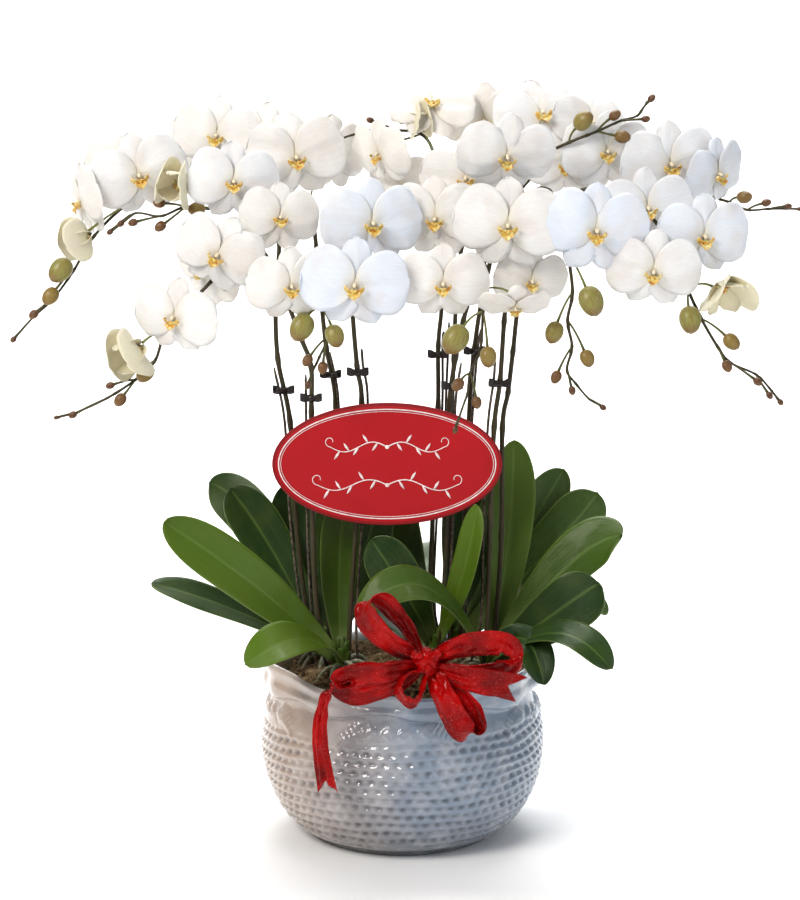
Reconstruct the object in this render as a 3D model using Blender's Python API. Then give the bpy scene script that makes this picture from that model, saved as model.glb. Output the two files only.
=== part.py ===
"""A gift pot of white moth orchids: glazed pot, moss bed, five plants, stakes and clips, gift card, ribbon bow.

The origin is the centre of the pot's foot, +Z is up and the show side faces -Y.
Tables are in millimetres and MM turns them into metres. Each plant grew as one piece, so it is one solid:
a crown at the moss, two flower spikes with their blossoms and buds, and its leaves.
"""

import itertools
import math

import bmesh
import bpy
from mathutils import Matrix, Vector

MM = 0.001
UP = Vector((0, 0, 1))
GAP = 0.8  # clearance left between pieces that touch
MOSS_GAP = 1.6  # clearance between the moss and the pot's wall

# ---------------------------------------------------------------- pot and moss
POT_SIDES = 36
POT_OUTSIDE = [(88, 0), (106, 4), (124, 14), (142, 36), (154, 64), (160, 96), (159, 125), (154, 150),
               (150, 165), (155, 178), (158, 197)]
POT_WALL = 9
POT_FLOOR = 11
POT_FLOOR_RADIUS = 100
RIM_WAVES = 9
RIM_WAVE_DEPTH = 2.5
RIM_SWAY = 8  # how far the rim rises at the two sides and dips at front and back
NECK_HEIGHT = 165
MOSS_EDGE_RADIUS = 137
MOSS_EDGE_HEIGHT = 180
MOSS_RISE = 24

# ---------------------------------------------------------------- stems
STEM_SIDES = 5
TWIG_SIDES = 4
STEM_FOOT_RADIUS = 3.3
STEM_TIP_RADIUS = 1.3
PEDICEL_RADIUS = 1.3
BUD_GIRTH = 0.34  # greatest radius of a bud as a share of its length

# ---------------------------------------------------------------- blossoms
TEPAL_THICKNESS = 2.4
BLOSSOM_CURL = 0.13  # how far the petal tips lean back, as a share of the width
LIP_RISE = 0.12
LIP_RADIUS = 0.10
# Half of the outline seen face on, from the notch under the lip round to the top sepal: (angle, radius / width).
HALF_OUTLINE = [(-90, 0.17), (-62, 0.41), (-32, 0.20), (-12, 0.42), (12, 0.50), (38, 0.43), (58, 0.25),
                (90, 0.47)]

# ---------------------------------------------------------------- gift card
CARD_CENTRE = (-17, -64, 430)
CARD_SIZE = (251, 135)
CARD_THICKNESS = 2
CARD_SIDES = 40

# Each spike has its foot (x, y) in its plant's crown, the points that its stem passes, its blossoms
# (centre, yaw, nod, roll, width) and its buds (centre, length). A blossom with no yaw, nod or roll
# faces -Y with its top sepal up; yaw turns it to +X, nod bows it and roll tips its top to +X.
SPIKES = {
    1: {
        "foot": (-92, 0),
        "route": [(-108, -10, 255), (-120, -12, 360), (-125, -15, 470), (-138, -15, 540), (-140, -12, 605),
                  (-136, -5, 670), (-143, 5, 722), (-170, 12, 752), (-210, 15, 752), (-260, 12, 733),
                  (-305, 0, 708), (-338, -18, 675), (-360, -25, 638), (-383, -30, 607), (-405, -30, 587),
                  (-426, -30, 565)],
        "blossoms": [((-115, -38, 760), 10, 8, -8, 104), ((-203, -10, 783), -8, 4, 6, 96),
                     ((-285, -34, 741), 8, 12, -14, 102), ((-352, -12, 712), -62, 12, -6, 92),
                     ((-156, 34, 782), 4, -10, 10, 92), ((-250, 36, 764), -14, -6, -8, 94),
                     ((-318, 26, 742), -30, 6, 4, 90)],
        "buds": [((-352, -40, 673), 38), ((-373, -34, 639), 31), ((-384, -38, 611), 22), ((-403, -36, 591), 12),
                 ((-427, -30, 563), 8)],
    },
    2: {
        "foot": (-80, 8),
        "route": [(-85, 10, 255), (-80, 10, 375), (-75, 10, 485), (-85, 5, 550), (-90, 0, 600), (-95, -2, 660),
                  (-102, -8, 705), (-122, -18, 724), (-150, -25, 722), (-178, -34, 712), (-207, -40, 706),
                  (-235, -42, 708), (-262, -42, 698), (-290, -42, 701), (-315, -42, 684)],
        "blossoms": [((-180, -74, 735), 6, 6, 0, 94), ((-75, 26, 764), 38, 4, 0, 95)],
        "buds": [((-243, -62, 733), 40), ((-222, -52, 706), 20), ((-263, -44, 712), 14), ((-262, -46, 687), 14),
                 ((-292, -42, 691), 11), ((-305, -44, 690), 9), ((-317, -42, 681), 8)],
    },
    3: {
        "foot": (-76, -44),
        "route": [(-95, -42, 260), (-100, -45, 385), (-100, -45, 485), (-100, -48, 535), (-110, -50, 565),
                  (-130, -52, 618), (-145, -55, 652), (-160, -58, 668), (-180, -62, 655), (-205, -68, 630),
                  (-232, -75, 602), (-255, -80, 575), (-266, -84, 545), (-287, -85, 525), (-318, -85, 505),
                  (-350, -85, 490), (-371, -85, 484)],
        "blossoms": [((-131, -78, 697), 14, 0, 4, 84), ((-196, -98, 659), -14, 14, 26, 96),
                     ((-241, -118, 594), -22, 10, 8, 92), ((-214, -52, 640), -40, 6, 30, 88)],
        "buds": [((-290, -100, 554), 42), ((-275, -98, 534), 24), ((-303, -92, 504), 16), ((-314, -88, 519), 10),
                 ((-355, -86, 487), 10), ((-373, -85, 484), 6)],
    },
    4: {
        "foot": (-61, -43),
        "route": [(-58, -42, 260), (-50, -42, 385), (-45, -42, 495), (-50, -42, 535), (-55, -42, 600),
                  (-56, -44, 650), (-60, -50, 695), (-66, -66, 716), (-74, -84, 706), (-79, -94, 675),
                  (-84, -100, 637), (-86, -105, 602), (-81, -108, 572), (-89, -110, 551), (-96, -110, 536),
                  (-100, -110, 524)],
        "blossoms": [((-32, -108, 692), 12, 6, 0, 104), ((-117, -131, 628), 14, 14, 0, 90),
                     ((-50, -146, 630), -2, 10, 4, 108)],
        "buds": [((-107, -116, 584), 32), ((-72, -116, 575), 26), ((-101, -116, 549), 14), ((-85, -114, 541), 14),
                 ((-101, -110, 522), 9)],
    },
    5: {
        "foot": (32, 4),
        "route": [(31, 18, 255), (35, 28, 375), (40, 30, 480), (40, 30, 550), (44, 30, 600), (42, 32, 660),
                  (40, 32, 720), (34, 26, 765), (20, 20, 786), (-8, 14, 790), (-35, 6, 790), (-55, 0, 785),
                  (-70, 0, 780)],
        "blossoms": [((32, -10, 818), 0, -36, 8, 90), ((-26, -24, 764), -46, 18, 4, 82),
                     ((-2, 4, 728), -30, 14, 0, 84)],
        "buds": [((18, -12, 801), 34), ((-2, 4, 803), 16), ((-14, -2, 777), 22), ((-27, 12, 779), 12),
                 ((-36, 10, 801), 9), ((-72, 0, 779), 7)],
    },
    6: {
        "foot": (41, -11),
        "route": [(45, -24, 255), (50, -36, 385), (51, -40, 490), (58, -42, 545), (66, -42, 585), (79, -42, 630),
                  (90, -44, 680), (95, -38, 720), (96, -40, 738), (92, -50, 722), (88, -70, 696), (86, -94, 660),
                  (90, -105, 625), (85, -108, 600), (82, -112, 560), (71, -114, 535), (68, -118, 513),
                  (56, -130, 482)],
        "blossoms": [((110, -84, 762), 6, 26, 4, 100), ((110, -116, 690), -4, 8, 2, 110),
                     ((35, -82, 696), -12, 10, 0, 98), ((42, -126, 630), 0, 14, 0, 92),
                     ((117, -138, 608), 4, 62, 0, 74), ((68, -52, 738), -8, 8, -4, 96)],
        "buds": [((55, -122, 572), 35), ((90, -118, 553), 23), ((58, -122, 524), 16), ((78, -122, 505), 14),
                 ((55, -134, 477), 8)],
    },
    7: {
        "foot": (90, -42),
        "route": [(94, -48, 255), (96, -52, 365), (100, -52, 470), (106, -52, 520), (110, -52, 585),
                  (115, -52, 640), (124, -52, 695), (139, -60, 724), (156, -75, 726), (169, -88, 695),
                  (175, -95, 660), (180, -98, 620), (175, -100, 590), (180, -100, 562), (175, -100, 537),
                  (185, -100, 522), (199, -100, 506), (211, -100, 499)],
        "blossoms": [((202, -122, 685), 4, 10, 4, 108), ((137, -84, 630), 14, 18, 0, 78)],
        "buds": [((199, -108, 611), 34), ((160, -108, 578), 25), ((196, -104, 550), 20), ((163, -104, 530), 15),
                 ((180, -108, 516), 10), ((214, -100, 497), 8)],
    },
    8: {
        "foot": (99, -30),
        "route": [(105, -22, 250), (110, -28, 345), (110, -30, 465), (116, -30, 505), (121, -30, 550),
                  (127, -30, 605), (141, -30, 670), (166, -33, 710), (205, -42, 728), (250, -56, 716),
                  (278, -68, 682), (298, -75, 648), (306, -78, 620), (320, -80, 590), (338, -80, 560),
                  (352, -80, 543), (380, -80, 530), (395, -80, 515), (404, -80, 503)],
        "blossoms": [((318, -100, 678), 10, 10, 0, 98), ((264, -112, 642), -6, 16, 6, 96),
                     ((262, -66, 706), 6, 4, -6, 96)],
        "buds": [((346, -86, 617), 40), ((306, -92, 590), 31), ((352, -86, 566), 21), ((347, -90, 540), 14),
                 ((381, -86, 523), 11), ((394, -86, 508), 9), ((407, -80, 500), 8)],
    },
    9: {
        "foot": (66, 38),
        "route": [(69, 32, 250), (71, 24, 355), (74, 20, 455), (80, 20, 545), (95, 20, 635), (122, 20, 712),
                  (160, 16, 750), (215, 12, 762), (270, 6, 754), (315, 2, 733), (340, 4, 718), (358, -12, 712),
                  (376, -22, 704), (400, -20, 705), (430, -20, 705)],
        "blossoms": [((222, -22, 766), 8, 8, 0, 94), ((290, -32, 752), 12, 8, -6, 104),
                     ((342, -30, 742), 40, 14, -8, 86), ((180, -4, 752), -10, 10, 8, 92)],
        "buds": [((372, -24, 718), 18), ((396, -24, 712), 11), ((420, -22, 708), 9), ((433, -20, 705), 6)],
    },
    10: {
        "foot": (57, 49),
        "route": [(56, 50, 255), (55, 50, 370), (56, 46, 475), (58, 42, 535), (60, 38, 595), (66, 40, 660),
                  (78, 44, 715), (96, 50, 742), (122, 38, 755), (148, -6, 762), (180, -30, 777), (210, -34, 789),
                  (235, -32, 800), (254, -30, 806), (263, -32, 820)],
        "blossoms": [((90, 24, 800), -6, 10, 0, 90), ((152, 0, 806), 16, -22, -8, 102),
                     ((208, 12, 796), 22, -20, 6, 88)],
        "buds": [((194, -44, 800), 25), ((228, -40, 806), 14), ((237, -38, 783), 18), ((261, -42, 802), 10),
                 ((268, -34, 824), 10)],
    },
}

# Each leaf grows from its plant's crown, passes its middle and ends at its tip:
# (middle, tip, width, direction that its upper face looks).
LEAVES = {
    "far_left_high": ((-162, 62, 332), (-226, 92, 384), 56, (-0.2, -1, 0.5)),
    "left_high": ((-148, 26, 318), (-197, 40, 386), 56, (0.2, -1, 0.3)),
    "left_broad": ((-160, -82, 300), (-257, -100, 373), 62, (0.1, -0.9, 0.8)),
    "left_low": ((-190, -72, 274), (-272, -95, 305), 38, (-0.2, -0.7, 1)),
    "left_over_rim": ((-108, -140, 258), (-166, -182, 236), 50, (0, -0.9, 1)),
    "left_upright": ((-71, -18, 300), (-64, -12, 388), 46, (0.3, -1, 0)),
    "left_inner": ((-46, 28, 300), (-20, 44, 392), 46, (0.2, -1, 0.1)),
    "left_behind": ((-116, 62, 300), (-132, 84, 384), 58, (0, -1, 0.2)),
    "left_middle": ((-78, 56, 306), (-66, 80, 398), 60, (0.1, -1, 0.1)),
    "left_rear": ((-110, 124, 292), (-128, 178, 286), 58, (-0.2, 0.4, 1)),
    "front_arch": ((26, -136, 312), (-50, -156, 284), 46, (0.3, -0.8, 1)),
    "inner_dark": ((2, -56, 290), (-34, -60, 346), 54, (0, -1, 0.4)),
    "inner_tall": ((-4, 44, 300), (-18, 76, 392), 54, (0, -1, 0.1)),
    "inner_edge_on": ((62, -66, 300), (80, -68, 386), 32, (-0.7, -1, 0.1)),
    "middle_rear": ((12, 110, 300), (6, 180, 290), 60, (0.1, 0.4, 1)),
    "inner_low": ((-12, 60, 258), (-16, 112, 330), 58, (0, -0.8, 0.8)),
    "right_upright": ((120, -4, 330), (125, 6, 446), 50, (0, -1, 0.1)),
    "right_broad": ((182, -42, 316), (240, -60, 352), 64, (0, -0.8, 0.9)),
    "right_dark": ((165, -78, 264), (214, -88, 302), 62, (0.1, -1, 0.3)),
    "right_over_rim": ((166, -116, 258), (223, -146, 222), 42, (0, -0.6, 1)),
    "right_short": ((132, -92, 244), (152, -128, 200), 44, (0.4, -1, 0.6)),
    "right_high": ((138, 66, 322), (188, 92, 400), 50, (0.2, -1, 0.4)),
    "far_right_high": ((168, 50, 314), (226, 72, 376), 60, (0, -1, 0.5)),
    "far_right_low": ((176, 66, 258), (238, 56, 236), 34, (0, -0.5, 1)),
    "right_behind": ((74, 92, 306), (80, 112, 402), 60, (0, -1, 0.1)),
    "right_between": ((104, 74, 300), (118, 92, 388), 54, (0.1, -1, 0.2)),
    "right_rear": ((128, 124, 276), (184, 158, 256), 56, (0.3, 0.4, 1)),
}
LEAF_THICKNESS = 3
LEAF_CHANNEL = 0.12  # depth of the blade's fold along its middle, as a share of its width
# Half width along the blade, from base to tip, as a share of the widest half width.
LEAF_STATIONS = [(0.0, 0.26), (0.12, 0.4), (0.3, 0.72), (0.5, 0.94), (0.68, 1.0), (0.84, 0.88), (0.95, 0.54)]

# Each plant: its crown's (x, y), its spikes and its leaves.
PLANTS = {
    "orchid_left_back": ((-86, 4), (1, 2), ("far_left_high", "left_high", "left_inner", "left_rear",
                                                  "left_behind", "left_middle")),
    "orchid_left_front": ((-68, -44), (3, 4), ("left_broad", "left_low", "left_over_rim", "left_upright")),
    "orchid_middle": ((36, -4), (5, 6), ("inner_dark", "inner_edge_on", "inner_low", "middle_rear", "inner_tall")),
    "orchid_right_front": (
        (94, -36), (7, 8), ("front_arch", "right_upright", "right_broad", "right_dark",
                                "right_over_rim", "right_short"),
    ),
    "orchid_right_back": ((62, 44), (9, 10), ("right_high", "far_right_high", "far_right_low", "right_rear",
                                              "right_behind", "right_between")),
}
CROWN = [(0, 11), (9, 14), (20, 11), (29, 0)]  # (height over the moss, radius)
CROWN_SIDES = 9
LEAF_ROOT_HEIGHT = 13  # where a leaf leaves its crown, over the moss
LEAF_ROOT_RADIUS = 4

# ---------------------------------------------------------------- stakes, clips and ties
# Each stem but one has a wire stake beside it: spike to (bearing of the stake from the stem, clip's height).
STAKES = {
    1: (215, 505), 2: (300, 520), 3: (150, 500), 4: (20, 528), 5: (45, 540),
    6: (340, 513), 7: (180, 517), 9: (300, 545), 10: (180, 550),
}
STAKE_RADIUS = 1.5
STAKE_SIDES = 6
STAKE_FROM_STEM = 7
STAKE_FROM_CROWN = 19
STAKE_LOWEST_BEND = 240
STAKE_ABOVE_CLIP = 26
CLIP_HEIGHT = 9
CLIP_WALL = 1.6
CLIP_SIDES = 8
CLIP_CLEARANCE = 1.4  # room between a clip's inner corners and what it holds
TIE_WIRE = 1.2
TIE_CLEARANCE = 0.6
# Wire loops that hold the card to the stems behind it: (spike number, height).
CARD_TIES = [(3, 452), (6, 470)]

# Each lobe of the bow runs from the knot through its middle to its end: (middle, end, width, thickness).
BOW_KNOT = (2, -178, 232)
# Its wire pick, which stands in the moss.
BOW_PICK = [(2, -176, 232), (2, -160, 226), (2, -128, 212), (2, -118, 192)]
BOW_PICK_RADIUS = 1.5
BOW_LOBES = [
    ((-14, -184, 276), (-37, -182, 302), 40, 15),
    ((-36, -190, 222), (-68, -184, 212), 44, 18),
    ((6, -190, 212), (6, -190, 190), 28, 12),
    ((52, -184, 250), (110, -174, 254), 34, 15),
    ((56, -186, 218), (114, -178, 224), 36, 15),
    ((34, -192, 192), (62, -190, 152), 40, 15),
    ((-74, -190, 180), (-80, -176, 90), 17, 3),
]


# ================================================================ helpers
def material(name, colour, roughness, metallic=0.0):
    """A Principled material with one colour."""
    made = bpy.data.materials.new(name)
    made.use_nodes = True
    shader = made.node_tree.nodes["Principled BSDF"]
    shader.inputs["Base Color"].default_value = (*colour, 1)
    shader.inputs["Roughness"].default_value = roughness
    shader.inputs["Metallic"].default_value = metallic
    return made


def loft(name, rings, finish, closed=False):
    """A body skinned over rings of points in millimetres; a ring of one point closes an end.

    With closed the last ring joins the first, which makes a loop.
    """
    mesh = bmesh.new()
    made = [[mesh.verts.new(Vector(point) * MM) for point in ring] for ring in rings]
    for near, far in zip(made, [*made[1:], made[0]] if closed else made[1:]):
        count = max(len(near), len(far))
        for i in range(count):
            j = (i + 1) % count
            if len(near) == 1:
                mesh.faces.new((near[0], far[j], far[i]))
            elif len(far) == 1:
                mesh.faces.new((near[i], near[j], far[0]))
            else:
                mesh.faces.new((near[i], near[j], far[j], far[i]))
    for end in (made[0], made[-1]):
        if len(end) > 1 and not closed:
            mesh.faces.new(end)
    bmesh.ops.recalc_face_normals(mesh, faces=mesh.faces)
    data = bpy.data.meshes.new(name)
    mesh.to_mesh(data)
    mesh.free()
    data.shade_smooth()
    data.set_sharp_from_angle(angle=math.radians(40))
    data.materials.append(finish)
    body = bpy.data.objects.new(name, data)
    bpy.context.scene.collection.objects.link(body)
    return body


def united(body, others, name):
    """body with the others joined to it as one solid, by exact Boolean unions."""
    for other in others:
        join = body.modifiers.new("join_" + other.name, "BOOLEAN")
        join.operation = "UNION"
        join.use_self = True
        join.object = other
        other.hide_render = True
        other.display_type = "WIRE"
    body.name = name
    return body


def smooth_path(points, per_span):
    """Points along the smooth curve that passes through all of the given ones."""
    given = [Vector(p) for p in points]
    padded = [2 * given[0] - given[1], *given, 2 * given[-1] - given[-2]]
    path = []
    for a, b, c, d in zip(padded, padded[1:], padded[2:], padded[3:]):
        for step in range(per_span):
            t = step / per_span
            square = 2 * a - 5 * b + 4 * c - d
            cube = 3 * b - a - 3 * c + d
            path.append(0.5 * (2 * b + (c - a) * t + square * t**2 + cube * t**3))
    return [*path, given[-1]]


def tangents(path):
    """Unit directions along a path, one for each of its points."""
    ahead = [*path[1:], 2 * path[-1] - path[-2]]
    behind = [2 * path[0] - path[1], *path[:-1]]
    return [(a - b).normalized() for a, b in zip(ahead, behind)]


def tube(path, radii, sides):
    """Rings round a path, carried along it without twisting; a radius of 0 gives one point."""
    directions = tangents(path)
    across = directions[0].orthogonal().normalized()
    rings = []
    for point, direction, radius in zip(path, directions, radii):
        across = (across - across.dot(direction) * direction).normalized()
        beside = direction.cross(across)
        if radius == 0:
            rings.append([point])
            continue
        turns = [math.tau * i / sides for i in range(sides)]
        rings.append([point + radius * (math.cos(t) * across + math.sin(t) * beside) for t in turns])
    return rings


def bend(start, control, end, steps):
    """Points along a curve that leaves start towards control and reaches end coming from it."""
    ts = [i / steps for i in range(steps + 1)]
    return [(1 - t) ** 2 * start + 2 * t * (1 - t) * control + t**2 * end for t in ts]


def moss_height(x, y):
    """Height of the moss's domed top."""
    return MOSS_EDGE_HEIGHT + MOSS_RISE * (1 - (x * x + y * y) / MOSS_EDGE_RADIUS**2)


# ================================================================ pot and moss
def turned_ring(radius, height, wavy=True):
    """One ring of the pot, with the folds of its rim worked into it near the top."""
    share = max(0.0, (height - NECK_HEIGHT) / (POT_OUTSIDE[-1][1] - NECK_HEIGHT)) if wavy else 0.0
    ring = []
    for i in range(POT_SIDES):
        turn = math.tau * i / POT_SIDES
        spread = radius + RIM_WAVE_DEPTH * share * math.cos(RIM_WAVES * turn)
        sway = RIM_SWAY * share * math.cos(2 * turn)
        ring.append((spread * math.cos(turn), spread * math.sin(turn), height + sway))
    return ring


def inside_of_pot(inset):
    """The profile of the pot's inner wall, moved in by inset, from the floor up."""
    wall = [(r - POT_WALL - inset, z) for r, z in POT_OUTSIDE if z > POT_FLOOR * 2]
    return [(POT_FLOOR_RADIUS - inset, POT_FLOOR + inset), *wall]


def build_pot(glaze):
    outside = [turned_ring(r, z) for r, z in POT_OUTSIDE]
    inside = [turned_ring(r, z) for r, z in reversed(inside_of_pot(0))]
    loft("pot", [*outside, *inside, [(0, 0, POT_FLOOR)]], glaze)


def build_moss(fibre):
    wall = [(r, z) for r, z in inside_of_pot(MOSS_GAP) if z <= NECK_HEIGHT]
    body = [turned_ring(r, z, wavy=False) for r, z in wall]
    shoulder = [turned_ring(MOSS_EDGE_RADIUS, MOSS_EDGE_HEIGHT, wavy=False)]
    half_way = MOSS_EDGE_RADIUS * 0.55
    crown = [turned_ring(half_way, moss_height(half_way, 0), wavy=False), [(0, 0, moss_height(0, 0))]]
    loft("moss_bed", [[(0, 0, wall[0][1])], *body, *shoulder, *crown], fibre)


# ================================================================ blossoms
def facing(yaw, nod, roll):
    """Rotation of a blossom that is modelled face up towards -Y."""
    turned = Matrix.Rotation(math.radians(yaw), 3, "Z") @ Matrix.Rotation(math.radians(nod), 3, "X")
    return turned @ Matrix.Rotation(math.radians(roll), 3, "Y")


def outline():
    """The whole outline as (angle, radius) once round."""
    right = HALF_OUTLINE
    left = [(180 - angle, radius) for angle, radius in reversed(HALF_OUTLINE[1:-1])]
    return [(math.radians(angle), radius) for angle, radius in [*right, *left]]


def blossom_rings(centre, yaw, nod, roll, width):
    """Rings from the tip of the lip, over the petals' edge, to the middle of the back."""
    turn = facing(yaw, nod, roll)

    def placed(x, forward, z):
        return Vector(centre) + turn @ Vector((x, -forward, z))

    def ring(share, forward, curl):
        points = []
        for angle, radius in outline():
            r = width * (radius if share is None else share)
            lean = curl * width * BLOSSOM_CURL * (r / (0.5 * width)) ** 2
            points.append(placed(r * math.cos(angle), forward - lean, r * math.sin(angle)))
        return points

    lip = placed(0, width * LIP_RISE, 0)
    back = placed(0, -TEPAL_THICKNESS, 0)
    front = [ring(LIP_RADIUS, width * 0.02, 1), ring(None, 0, 1)]
    return [[lip], *front, ring(None, -TEPAL_THICKNESS, 1), [back]]


# ================================================================ flower spikes
def nearest(path, point):
    """Index of the path's point that lies nearest to the given one."""
    return min(range(len(path)), key=lambda i: (path[i] - point).length)


def bud_twig(path, centre, length):
    """Rings of a bud on its bent stalk."""
    centre = Vector(centre)
    i = nearest(path, centre) - 1
    along = tangents(path)[i]
    axis = (centre - path[i] + along * length * 0.4 - UP * length * 0.15).normalized()
    foot = centre - axis * length * 0.5
    stalk = bend(path[i], foot - axis * (foot - path[i]).length * 0.6, foot, 3)
    girth = length * BUD_GIRTH
    swell = [(0.22, 0.72), (0.5, 1.0), (0.8, 0.68), (1.0, 0.0)]
    thin = min(PEDICEL_RADIUS, girth * 0.5)
    points = [*stalk, *[foot + axis * length * share for share, _ in swell]]
    return tube(points, [thin] * len(stalk) + [girth * share for _, share in swell], TWIG_SIDES)


def blossom_twig(path, centre, yaw, nod, roll, width):
    """Rings of a blossom's stalk, which ends inside the blossom's middle."""
    face = facing(yaw, nod, roll) @ Vector((0, -1, 0))
    end = Vector(centre) + face * TEPAL_THICKNESS
    foot = path[nearest(path, end - face * width * 0.3)]
    stalk = bend(foot, end - face * (foot - end).length * 0.5, end, 4)
    return tube(stalk, [PEDICEL_RADIUS] * len(stalk), TWIG_SIDES)


def stem_path(number):
    """The line of one spike's stem, from inside its plant's crown."""
    spike = SPIKES[number]
    x, y = spike["foot"]
    return [Vector(point) for point in [(x, y, moss_height(x, y) + CROWN[1][0]), *spike["route"]]]


def stem_radius(share):
    """Radius of a stem at a share of the way from its foot to its tip."""
    return STEM_FOOT_RADIUS + (STEM_TIP_RADIUS - STEM_FOOT_RADIUS) * share**1.5


def spike_bodies(number, bark, petal):
    """The stem, and then every stalk with its bud or its blossom, of one spike."""
    path = stem_path(number)
    radii = [stem_radius(i / (len(path) - 1)) for i in range(len(path))]
    bodies = [loft(f"spike_{number}_stem", tube(path, radii, STEM_SIDES), bark)]
    for bud in SPIKES[number]["buds"]:
        bodies.append(loft(f"spike_{number}_bud", bud_twig(path, *bud), bark))
    for blossom in SPIKES[number]["blossoms"]:
        bodies.append(loft(f"spike_{number}_blossom", blossom_rings(*blossom), petal))
        bodies.append(loft(f"spike_{number}_stalk", blossom_twig(path, *blossom), bark))
    return bodies


# ================================================================ plants
def leaf_body(name, crown, middle, tip, width, face, green):
    """A thick strap leaf, folded a little along its middle, whose base is inside the crown."""
    middle, tip, face = Vector(middle), Vector(tip), Vector(face)
    away = (middle.xy - Vector(crown)).normalized() * LEAF_ROOT_RADIUS
    x, y = Vector(crown) + away
    base = Vector((x, y, moss_height(x, y) + LEAF_ROOT_HEIGHT))
    control = 2 * middle - (base + tip) / 2
    rings = []
    for along, broad in LEAF_STATIONS:
        point = (1 - along) ** 2 * base + 2 * along * (1 - along) * control + along**2 * tip
        direction = ((1 - along) * (control - base) + along * (tip - control)).normalized()
        across = direction.cross(face).normalized() * width * broad / 2
        upper = across.cross(direction).normalized()
        fold = upper * width * broad * LEAF_CHANNEL
        under = upper * LEAF_THICKNESS
        rings.append([point - across, point - fold, point + across,
                      point + across - under, point - fold - under * 1.4, point - across - under])
    return loft(name, [*rings, [tip]], green)


def crown_body(centre, green):
    """The short stump that a plant's leaves and spikes grow from, standing on the moss."""
    rings = []
    for height, radius in CROWN[:-1]:
        turns = [math.tau * i / CROWN_SIDES for i in range(CROWN_SIDES)]
        around = [(centre[0] + radius * math.cos(t), centre[1] + radius * math.sin(t)) for t in turns]
        rings.append([(x, y, moss_height(x, y) + GAP + height) for x, y in around])
    top = moss_height(*centre) + CROWN[-1][0]
    return loft("crown", [*rings, [(*centre, top)]], green)


def build_plant(name, crown, spikes, leaves, bark, petal, green):
    parts = [leaf_body(leaf, crown, *LEAVES[leaf], green) for leaf in leaves]
    for number in spikes:
        parts += spike_bodies(number, bark, petal)
    united(crown_body(crown, green), parts, name)


# ================================================================ stakes, clips and ties
def at_height(path, height):
    """The point where a rising path first passes a height, and the share of its points before it."""
    above = next(i for i, point in enumerate(path) if point.z > height)
    low, high = path[above - 1], path[above]
    return low.lerp(high, (height - low.z) / (high.z - low.z)), above / (len(path) - 1)


def band(name, start, end, inner, wall, height, finish):
    """A closed band, wall thick and height high, round two upright things that stand at start and end."""
    toward = end - start
    facing_end = math.atan2(toward.y, toward.x)
    corners = [(wall, -height / 2), (wall, height / 2), (0, height / 2), (0, -height / 2)]
    rings = []
    for i in range(CLIP_SIDES):
        turn = math.tau * (i + 0.5) / CLIP_SIDES
        centre = end if math.cos(turn) > 0 else start
        out = Vector((math.cos(turn + facing_end), math.sin(turn + facing_end), 0))
        rings.append([centre + out * (inner + thick) + UP * up for thick, up in corners])
    return loft(name, rings, finish, closed=True)


def build_stake(number, crown, bearing, clip_height, cane, clip):
    """The wire stake beside one stem, and the clip that holds the two together."""
    path = stem_path(number)
    beside = Vector((math.cos(math.radians(bearing)), math.sin(math.radians(bearing)), 0))
    held, share = at_height(path, clip_height)
    top, _ = at_height(path, clip_height + STAKE_ABOVE_CLIP)
    foot = Vector((*crown, 0)) + beside * STAKE_FROM_CROWN
    foot.z = moss_height(foot.x, foot.y) + GAP
    below_top = itertools.takewhile(lambda point: point.z < top.z, path)
    rising = [point for point in below_top if point.z > STAKE_LOWEST_BEND]
    line = [foot, *[point + beside * STAKE_FROM_STEM for point in [*rising, top]]]
    loft(f"stake_{number:02d}", tube(line, [STAKE_RADIUS] * len(line), STAKE_SIDES), cane)
    inner = stem_radius(share) + CLIP_CLEARANCE
    band(f"stem_clip_{number:02d}", held, held + beside * STAKE_FROM_STEM, inner, CLIP_WALL, CLIP_HEIGHT, clip)


def build_card_tie(index, number, height, wire):
    """A wire loop round one stem, which reaches the back of the card."""
    held, share = at_height(stem_path(number), height)
    inner = stem_radius(share) + TIE_CLEARANCE
    card_back = CARD_CENTRE[1] + CARD_THICKNESS / 2
    front = Vector((held.x, card_back + GAP + TIE_WIRE + inner, height))
    band(f"card_tie_{index}", held, front, inner, TIE_WIRE, TIE_WIRE, wire)


# ================================================================ gift card and bow
def build_card(board):
    centre = Vector(CARD_CENTRE)

    def ring(depth):
        turns = [math.tau * i / CARD_SIDES for i in range(CARD_SIDES)]
        wide, high = CARD_SIZE[0] / 2, CARD_SIZE[1] / 2
        return [centre + Vector((wide * math.cos(t), depth, high * math.sin(t))) for t in turns]

    loft("gift_card", [ring(-CARD_THICKNESS / 2), ring(CARD_THICKNESS / 2)], board)


def lobe_rings(middle, end, width, thickness):
    """Rings of one padded lobe of the bow, from inside the knot to its end."""
    knot, middle, end = Vector(BOW_KNOT), Vector(middle), Vector(end)
    path = smooth_path([knot, middle, end], 2)
    shares = [0.35, 0.7, 1.0, 1.0, 0.7]
    rings = []
    for point, direction, share in zip(path, tangents(path), shares):
        across = direction.cross(Vector((0, -1, 0))).normalized() * width * share / 2
        out = across.cross(direction).normalized() * thickness * share / 2
        rings.append([point + across, point + 0.6 * across + out, point - 0.6 * across + out,
                      point - across, point - 0.6 * across - out, point + 0.6 * across - out])
    return rings


def build_bow(ribbon):
    knot_path = [Vector(BOW_KNOT) + Vector((0, shift, 0)) for shift in (-12, 0, 12)]
    knot = loft("knot", tube(knot_path, [10, 13, 10], 8), ribbon)
    lobes = [loft("lobe", lobe_rings(*lobe), ribbon) for lobe in BOW_LOBES]
    pick = [Vector(point) for point in BOW_PICK]
    lobes.append(loft("pick", tube(pick, [BOW_PICK_RADIUS] * len(pick), STAKE_SIDES), ribbon))
    united(knot, lobes, "ribbon_bow")


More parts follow.
